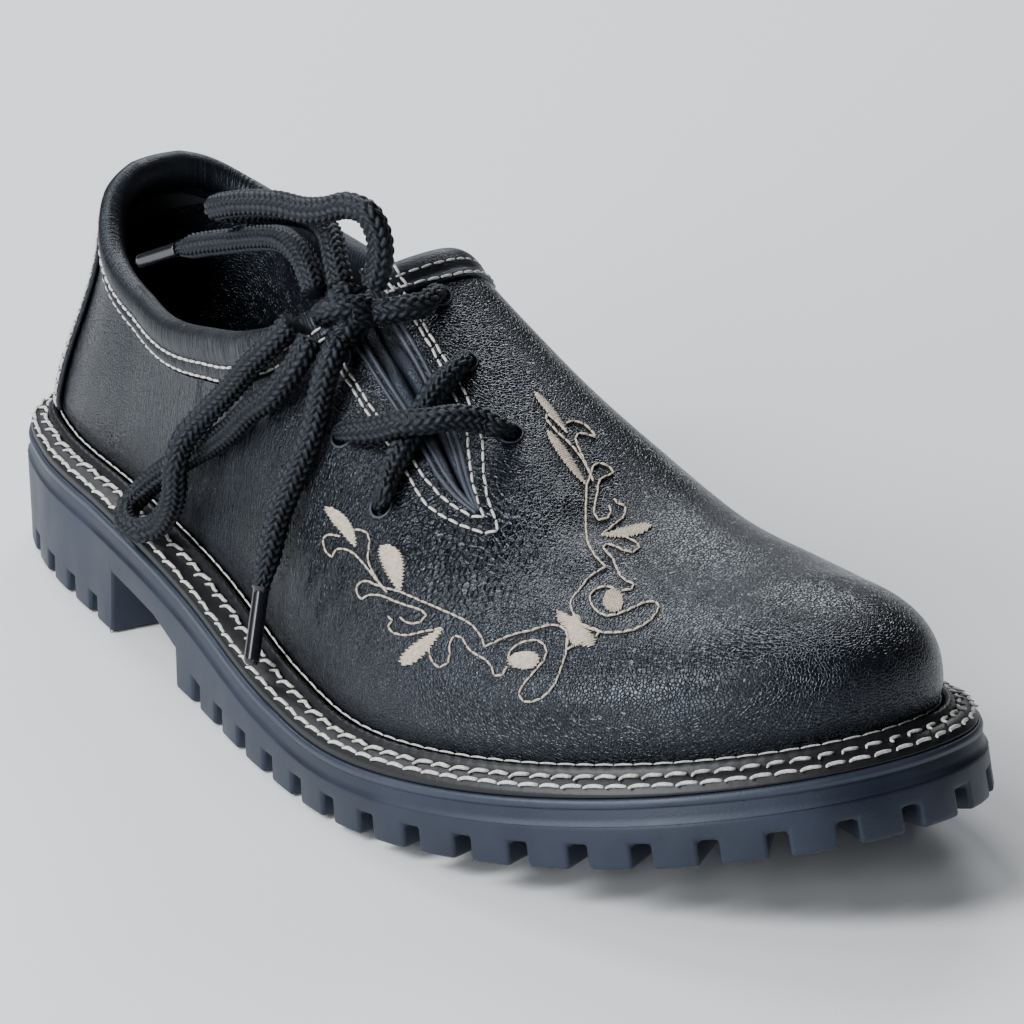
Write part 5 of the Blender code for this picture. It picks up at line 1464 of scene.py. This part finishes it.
    def sleeve(self, node: str, finishes: Finishes) -> bpy.types.Object:
        """Builds the glossy sleeve on a lace's end."""
        start, end = (np.array(place) for place in AGLET_ROUTES[node])
        path = respaced(np.array([start - (end - start) * 0.06, end]), 0.0008)
        radii = np.full(len(path), AGLET_RADIUS)
        radii[0] *= 1.25
        radii[-1] *= 0.7
        piece = Bench.grid(f"{node}_sleeve", tube_places(path, radii, 20))
        Bench.close(piece)
        Bench.smooth_by_angle(piece, 60)
        Bench.wear(piece, finishes.aglet, "aglet", node)
        return piece


class Seamstress:
    """Sews stitches of one thread on the shoe."""

    def __init__(self, thickness: float, length: float, pitch: float, kink: float = 0.0) -> None:
        """Models one stitch, to be copied.

        Args:
            thickness: Thread's thickness.
            length: Length of a stitch.
            pitch: Distance from stitch to stitch.
            kink: How far the stitch's end turns aside, in metres.
        """
        self.length = length
        self.pitch = pitch
        shares = np.array([-1.0, -0.86, -0.5, 0.0, 0.5, 0.80, 1.0])
        aside = kink * np.array([-0.5, -0.2, 0.0, 0.0, 0.0, 0.35, 1.0])
        path = np.stack([shares * length / 2, aside, thickness * 0.35 * (1 - shares**2)], axis=1)
        radii = thickness / 2 * np.array([0.5, 0.85, 1.0, 1.05, 1.0, 0.85, 0.5])
        self.template = Bench.grid("stitch", tube_places(path, radii, 6))
        Bench.close(self.template)
        self.gathered = bmesh.new()

    def put(self, start: np.ndarray, end: np.ndarray, normal: np.ndarray) -> None:
        """Adds one stitch from point to point, as long as their distance."""
        span = np.linalg.norm(end - start)
        tangent = (end - start) / span
        side = np.cross(normal, tangent)
        side /= np.linalg.norm(side)
        columns = (tangent * span / self.length, side, np.cross(tangent, side), (start + end) / 2)
        copy = self.template.data.copy()
        copy.transform(Matrix(np.vstack([np.stack(columns, axis=1), [0, 0, 0, 1]])))
        self.gathered.from_mesh(copy)
        bpy.data.meshes.remove(copy)

    def row(self, points: np.ndarray, normals: np.ndarray, wobble: float = 0.0) -> None:
        """Adds a row of stitches along a line.

        Args:
            points: The line's points.
            normals: Outward normals there.
            wobble: How far stitches turn from the line, in radians.
        """
        lengths = np.concatenate([[0.0], np.cumsum(np.linalg.norm(np.diff(points, axis=0), axis=1))])
        count = max(1, round(lengths[-1] / self.pitch))
        for k in range(count):
            middle = (k + 0.5) * lengths[-1] / count
            start, end = (np.array([np.interp(middle + way * self.length / 2, lengths, points[:, axis])
                                    for axis in range(3)]) for way in (-1, 1))
            normal = np.array([np.interp(middle, lengths, normals[:, axis]) for axis in range(3)])
            aside = np.cross(normal, end - start) * math.tan(wobble * math.sin(k * 2.399)) / 2
            self.put(start - aside, end + aside, normal)

    def finish(self, name: str, finish: bpy.types.Material) -> bpy.types.Object:
        """Turns the gathered stitches into one dressed piece."""
        mesh = bpy.data.meshes.new(name)
        self.gathered.to_mesh(mesh)
        self.gathered.free()
        piece = bpy.data.objects.new(name, mesh)
        bpy.context.scene.collection.objects.link(piece)
        Bench.alone(piece)
        bpy.ops.object.shade_smooth()
        Bench.wear(piece, finish)
        bpy.data.objects.remove(self.template)
        return piece


def surface_line(turns: np.ndarray, girths: np.ndarray, offset: float) -> tuple[np.ndarray, np.ndarray]:
    """Points and normals of a line on the last."""
    places, normals = LAST.facing(turns, girths)
    return places + normals * offset, normals


def sole_line(turns: np.ndarray, inset: np.ndarray, height: float) -> tuple[np.ndarray, np.ndarray]:
    """Points and normals of a line on the welt."""
    places = LAST.sole_place(turns, inset, height)
    normals = LAST.sole_place(turns, inset, height + 0.001) - places
    return places, normals / np.linalg.norm(normals, axis=1, keepdims=True)


@dataclass
class Stitching:
    """Every row of white stitches."""

    collar_drops: tuple[tuple[float, float], ...] = ((0.75, 0.50), (1.03, 0.95))

    def collar_row(self, rear: float, front: float) -> tuple[np.ndarray, np.ndarray]:
        """One row round the collar; it climbs the band from its rear to its front drop share."""
        start, end = LAST.share_at_slit(1) + 0.004, 1.0 + LAST.share_at_slit(-1) - 0.002
        shares = np.linspace(start, end, 500)
        climb = soft_step((shares - 0.80) / 0.12)
        near_slit = soft_step((shares - end + 0.05) / 0.05)
        drops = (rear + (front - rear) * climb - 0.3 * (front - 0.5) * near_slit) * BAND_HEIGHT
        low_turns, low_girths = LAST.along_edge(BAND_HEIGHT * 0.3, shares)
        high_turns, high_girths = LAST.along_edge(BAND_HEIGHT * 1.1, shares)
        share = (drops / BAND_HEIGHT - 0.3) / 0.8
        lift = 0.0009 - 0.0004 * climb - (0.0006 if rear > 1 else 0.0) * (1 - climb)
        places, normals = LAST.facing(low_turns + (high_turns - low_turns) * share,
                                      low_girths + (high_girths - low_girths) * share)
        return places + normals * lift[:, None], normals

    def bar_tack(self, back: float) -> tuple[np.ndarray, np.ndarray]:
        """A short row down the front band, a distance back from the slit."""
        share = 1.0 + LAST.share_at_slit(-1) - back / 0.34
        spots = [LAST.along_edge(BAND_HEIGHT * drop, np.array([share])) for drop in (0.15, 0.5, 0.95)]
        turns, girths = (np.concatenate([spot[k] for spot in spots]) for k in (0, 1))
        return surface_line(turns, girths, 0.0011)

    def slit_row(self, way: int, near: float, far: float, tip: float) -> tuple[np.ndarray, np.ndarray]:
        """One row beside the slit; its distance changes from top to bottom and closes at its point."""
        along = np.linspace(0.470, tip, 60) * LENGTH
        girth = read_table(SLIT, 1, along)
        per_metre = LAST.girth_per_metre(along, girth, Side.LATERAL)
        power = 0.5 if way < 0 else 0.85
        closing = np.clip((tip * LENGTH - along) / (0.062 * LENGTH), 0, 1) ** power
        distance = near + (far - near) * soft_step((along / LENGTH - 0.53) / 0.05)
        half = (read_table(SLIT, 2, along) + distance) * closing
        return surface_line(LAST.turn_at(along, Side.LATERAL), girth + way * half * per_metre, 0.0001)

    def build(self, finishes: Finishes) -> None:
        """Lays the welt, collar, slit and heel seams."""
        turns = np.linspace(0.0, 1.0, 900)
        edge = SIDE_FLARE + GAP
        flat = LAST.feather_inset(turns) - RIDGE_LOOK - edge
        welt_rows = (
            ("welt_stitches_outer", Seamstress(0.00078, 0.0042, 0.0049, kink=0.0007), 0.18, 0.12),
            ("welt_stitches_inner", Seamstress(0.00086, 0.0037, 0.0049, kink=0.0014), 0.88, 0.24),
        )
        for name, heavy, share, wobble in welt_rows:
            height = welt_height(turns, share) + 0.0002
            heavy.row(*sole_line(turns, edge + share * flat, height), wobble)
            heavy.finish(name, finishes.white)
        seam = Seamstress(0.00042, 0.0040, 0.0042)
        seam.row(*sole_line(turns, LAST.feather_inset(turns) + 0.0002, WELT_THICKNESS + 0.0017), 0.03)
        seam.finish("feather_stitches", finishes.white)
        fine = Seamstress(0.00062, 0.0026, 0.0031)
        for drops in self.collar_drops:
            fine.row(*self.collar_row(*drops), 0.05)
        for back in (0.0008, 0.0022, 0.0052):
            fine.row(*self.bar_tack(back), 0.2)
        fine.finish("collar_stitches", finishes.white)
        fine = Seamstress(0.00062, 0.0026, 0.0031)
        slit_rows = ((-1, 0.0055, 0.0042, 0.657), (-1, 0.0068, 0.0068, 0.672), (1, 0.0042, 0.0042, 0.657),
                     (1, 0.0055, 0.0068, 0.672))
        for way, near, far, tip in slit_rows:
            fine.row(*self.slit_row(way, near, far, tip), 0.08)
        fine.finish("slit_stitches", finishes.white)
        fine = Seamstress(0.00062, 0.0026, 0.0031)
        for way in (-1, 1):
            for inset in (0.0022, 0.0052):
                turn = way * (COUNTER_TURN - inset)
                low = float(LAST.girth_at_height(np.array([turn]), TUCK_HEIGHT * 0.6)[0])
                top = float(LAST.edge_girth(np.array([turn]), BAND_HEIGHT)[0])
                girths = np.linspace(low, top, 80)
                lift = GAP + COUNTER_THICKNESS + 0.0001
                fine.row(*surface_line(np.full_like(girths, turn), girths, lift), 0.05)
        fine.finish("heel_panel_stitches", finishes.white)


@dataclass(frozen=True)
class Spray:
    """One branch of the embroidery: its chart bent over the vamp through six landmarks."""

    landmarks: tuple[tuple[float, float], ...]

    @staticmethod
    def terms(chart: np.ndarray) -> np.ndarray:
        """The six terms of a quadratic bend for points of the chart."""
        u, v = chart[:, 0] / 100, chart[:, 1] / 100
        return np.stack([np.ones_like(u), u, v, u * u, u * v, v * v], axis=1)

    def lay(self, chart: np.ndarray) -> tuple[np.ndarray, np.ndarray]:
        """Places and normals on the leather for points of the chart."""
        marked = np.array([mark.chart for mark in EMBROIDERY_MARKS.values()], float)
        bend = np.linalg.solve(self.terms(marked), np.array(self.landmarks))
        along, girth = (self.terms(chart) @ bend).T
        turns = LAST.turn_at(along, Side.LATERAL)
        places, normals = LAST.facing(turns, girth)
        lift = leather_relief(places) + 0.0001
        return places + normals * lift[:, None], normals


@dataclass
class Embroidery:
    """Cream scrolls and leaves over the vamp, the same branch on both sides of a knot."""

    right: Spray = Spray(tuple(mark.right for mark in EMBROIDERY_MARKS.values()))
    left: Spray = Spray(tuple(mark.left for mark in EMBROIDERY_MARKS.values()))
    satin_pitch: float = 1.35

    def satin(self, outline: np.ndarray, degrees: float) -> list[np.ndarray]:
        """Parallel threads that fill an outline of the chart, with uneven ends."""
        cos, sin = math.cos(math.radians(degrees)), math.sin(math.radians(degrees))
        turned = np.array(((cos, -sin), (sin, cos)))
        low = outline @ turned
        high = np.roll(low, -1, axis=0)
        threads = []
        for level in np.arange(low[:, 1].min() + self.satin_pitch / 2, low[:, 1].max(), self.satin_pitch):
            crossed = (low[:, 1] - level) * (high[:, 1] - level) < 0
            share = (level - low[crossed, 1]) / (high[crossed, 1] - low[crossed, 1])
            cuts = np.sort(low[crossed, 0] + share * (high[crossed, 0] - low[crossed, 0]))
            ragged = 0.7 * math.sin(len(threads) * 2.4)
            for start, end in zip(cuts[::2], cuts[1::2]):
                ends = np.array(((start - ragged - 0.2, level), (end - ragged + 0.2, level)))
                threads.append(ends @ turned.T)
        return threads

    @staticmethod
    def leaf(tip: tuple[int, int], base: tuple[int, int], width: float) -> np.ndarray:
        """Outline of a pointed leaf."""
        tip, axis = np.array(tip, float), np.subtract(base, tip).astype(float)
        across = np.array((-axis[1], axis[0])) / np.linalg.norm(axis)
        share = np.linspace(0.0, 1.0, 16)
        half = width / 2 * np.sin(math.pi * share**0.62) ** 0.75
        banks = [tip + axis * share[:, None] + across * (way * half)[:, None] for way in (1, -1)]
        return np.vstack([banks[0], banks[1][::-1]])

    def build(self, finishes: Finishes) -> None:
        """Sews both branches."""
        outlines = [self.leaf(*leaf) for leaf in CHART_LEAVES]
        outlines += [smooth_route(fill + fill[:1], 2.0)[:-1] for fill in CHART_FILLS]
        for name, spray in (("embroidery_right", self.right), ("embroidery_left", self.left)):
            thread = Seamstress(0.00048, 0.0020, 0.0021)
            for line in CHART_LINES:
                thread.row(*spray.lay(smooth_route(line, 2.0)), 0.05)
            thread.finish(name, finishes.cream)
            silk = Seamstress(0.00040, 0.0020, 0.0021)
            for outline, degrees in zip(outlines, SATIN_ANGLES):
                for ends in self.satin(outline, degrees):
                    places, normals = spray.lay(ends)
                    silk.put(places[0], places[1], normals[0])
            silk.finish(name.replace("embroidery", "satin"), finishes.cream)


@dataclass(frozen=True)
class Studio:
    """Camera, lights, floor and background."""

    azimuth: float = -36.534
    elevation: float = 21.349
    roll: float = -0.753
    distance: float = 1.1492
    lens: float = 188.4
    target: tuple[float, float, float] = (0.018555, -0.003524, 0.040)

    def build(self) -> None:
        """Sets up the whole studio."""
        self.camera()
        self.floor()
        self.lights()

    def camera(self) -> None:
        """Makes the camera at the photograph's viewing angle."""
        azimuth, elevation, roll = (math.radians(x) for x in (self.azimuth, self.elevation, self.roll))
        back = Vector((math.sin(azimuth) * math.cos(elevation), -math.cos(azimuth) * math.cos(elevation),
                       math.sin(elevation)))
        right = Vector((math.cos(azimuth), math.sin(azimuth), 0.0))
        up = back.cross(right)
        turned_right = right * math.cos(roll) + up * math.sin(roll)
        turned_up = up * math.cos(roll) - right * math.sin(roll)
        camera = bpy.data.cameras.new("camera")
        camera.lens = self.lens
        camera.sensor_width = 36.0
        holder = bpy.data.objects.new("camera", camera)
        bpy.context.scene.collection.objects.link(holder)
        rotation = Matrix((turned_right, turned_up, back)).transposed()
        stand = Vector(self.target) + back * self.distance
        holder.matrix_world = Matrix.Translation(stand) @ rotation.to_4x4()
        bpy.context.scene.camera = holder

    def floor(self) -> None:
        """Lays the plain pale floor and background."""
        bpy.ops.object.select_all(action="DESELECT")
        bpy.ops.mesh.primitive_plane_add(size=6.0, location=(0.0, 0.0, -0.0003))
        floor = bpy.context.active_object
        floor.name = "studio_floor"
        floor.data.materials.append(self.paper())
        world = bpy.data.worlds.new("studio")
        bpy.context.scene.world = world
        world.use_nodes = True
        background = world.node_tree.nodes["Background"]
        background.inputs["Color"].default_value = (0.95, 0.97, 1.0, 1.0)
        background.inputs["Strength"].default_value = 0.05

    def paper(self) -> bpy.types.Material:
        """Plain white paper."""
        tree = Tree("white_paper")
        tree.set(Base_Color=(0.90, 0.91, 0.92, 1.0), Roughness=0.9, Specular_IOR_Level=0.1)
        return tree.material

    def lights(self) -> None:
        """Hangs the soft boxes."""
        self.softbox("left", (-1.2, 0.2, 0.95), 0.55, 21.0)
        self.softbox("left_low", (-1.4, -0.4, 0.5), 0.5, 11.0)
        self.softbox("high_left", (-0.9, -0.1, 1.25), 0.5, 7.0)
        self.softbox("left_behind", (-0.5, 0.7, 1.25), 0.5, 3.0)
        self.softbox("behind", (0.2, 0.95, 1.1), 0.5, 9.0)
        self.softbox("right_behind", (0.9, 0.8, 0.9), 0.5, 8.0)

    def softbox(self, name: str, place: tuple[float, float, float], size: float, power: float) -> None:
        """One square soft box aimed at the shoe."""
        light = bpy.data.lights.new(name, "AREA")
        light.size = size
        light.energy = power
        light.color = (0.94, 0.97, 1.0)
        holder = bpy.data.objects.new(name, light)
        bpy.context.scene.collection.objects.link(holder)
        aim = Vector((0.0, 0.0, 0.04)) - Vector(place)
        holder.rotation_mode = "QUATERNION"
        holder.rotation_quaternion = aim.to_track_quat("-Z", "Y")
        holder.location = place


def main() -> None:
    """Builds the shoe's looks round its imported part."""
    logging.basicConfig(level=logging.INFO, format="%(name)s: %(message)s")
    for thing in list(bpy.data.objects):
        bpy.data.objects.remove(thing)
    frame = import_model()
    nodes = frame["nodes"]
    finishes = Finishes()
    Studio().build()
    Lace().build(finishes)
    upper = Upper().build()
    Bench.wear(upper, finishes.leather, "black_leather", "upper")
    Bench.wear(Collar().build(), finishes.band, "black_leather", "collar_band")
    Bench.wear(HeelPanel().build(), finishes.panel, "black_leather", "heel_counter")
    Bench.wear(Tongue().build(), finishes.tongue, "black_leather", "tongue")
    Bench.wear(Welt().build(), finishes.welt, "welt_leather", "welt")
    Bench.wear(Outsole().build(nodes["outsole"]), finishes.rubber, "sole_rubber", "outsole")
    Bench.wear(Outsole().rim(), finishes.rim, "sole_rubber")
    # The folded edges and hole rims wear the grey leather that paints their highlight.
    Bench.wear(SlitTrim().folds(), finishes.fold, "black_leather")
    Bench.wear(SlitTrim().rims(), finishes.fold, "black_leather")
    Bench.wear(LiningPatch().build(), finishes.lining, "lining")
    Stitching().build(finishes)
    Embroidery().build(finishes)
    insole = nodes["insole"]
    insole.data.materials.clear()
    insole.data.materials.append(finishes.lining)


if __name__ == "__main__":
    main()
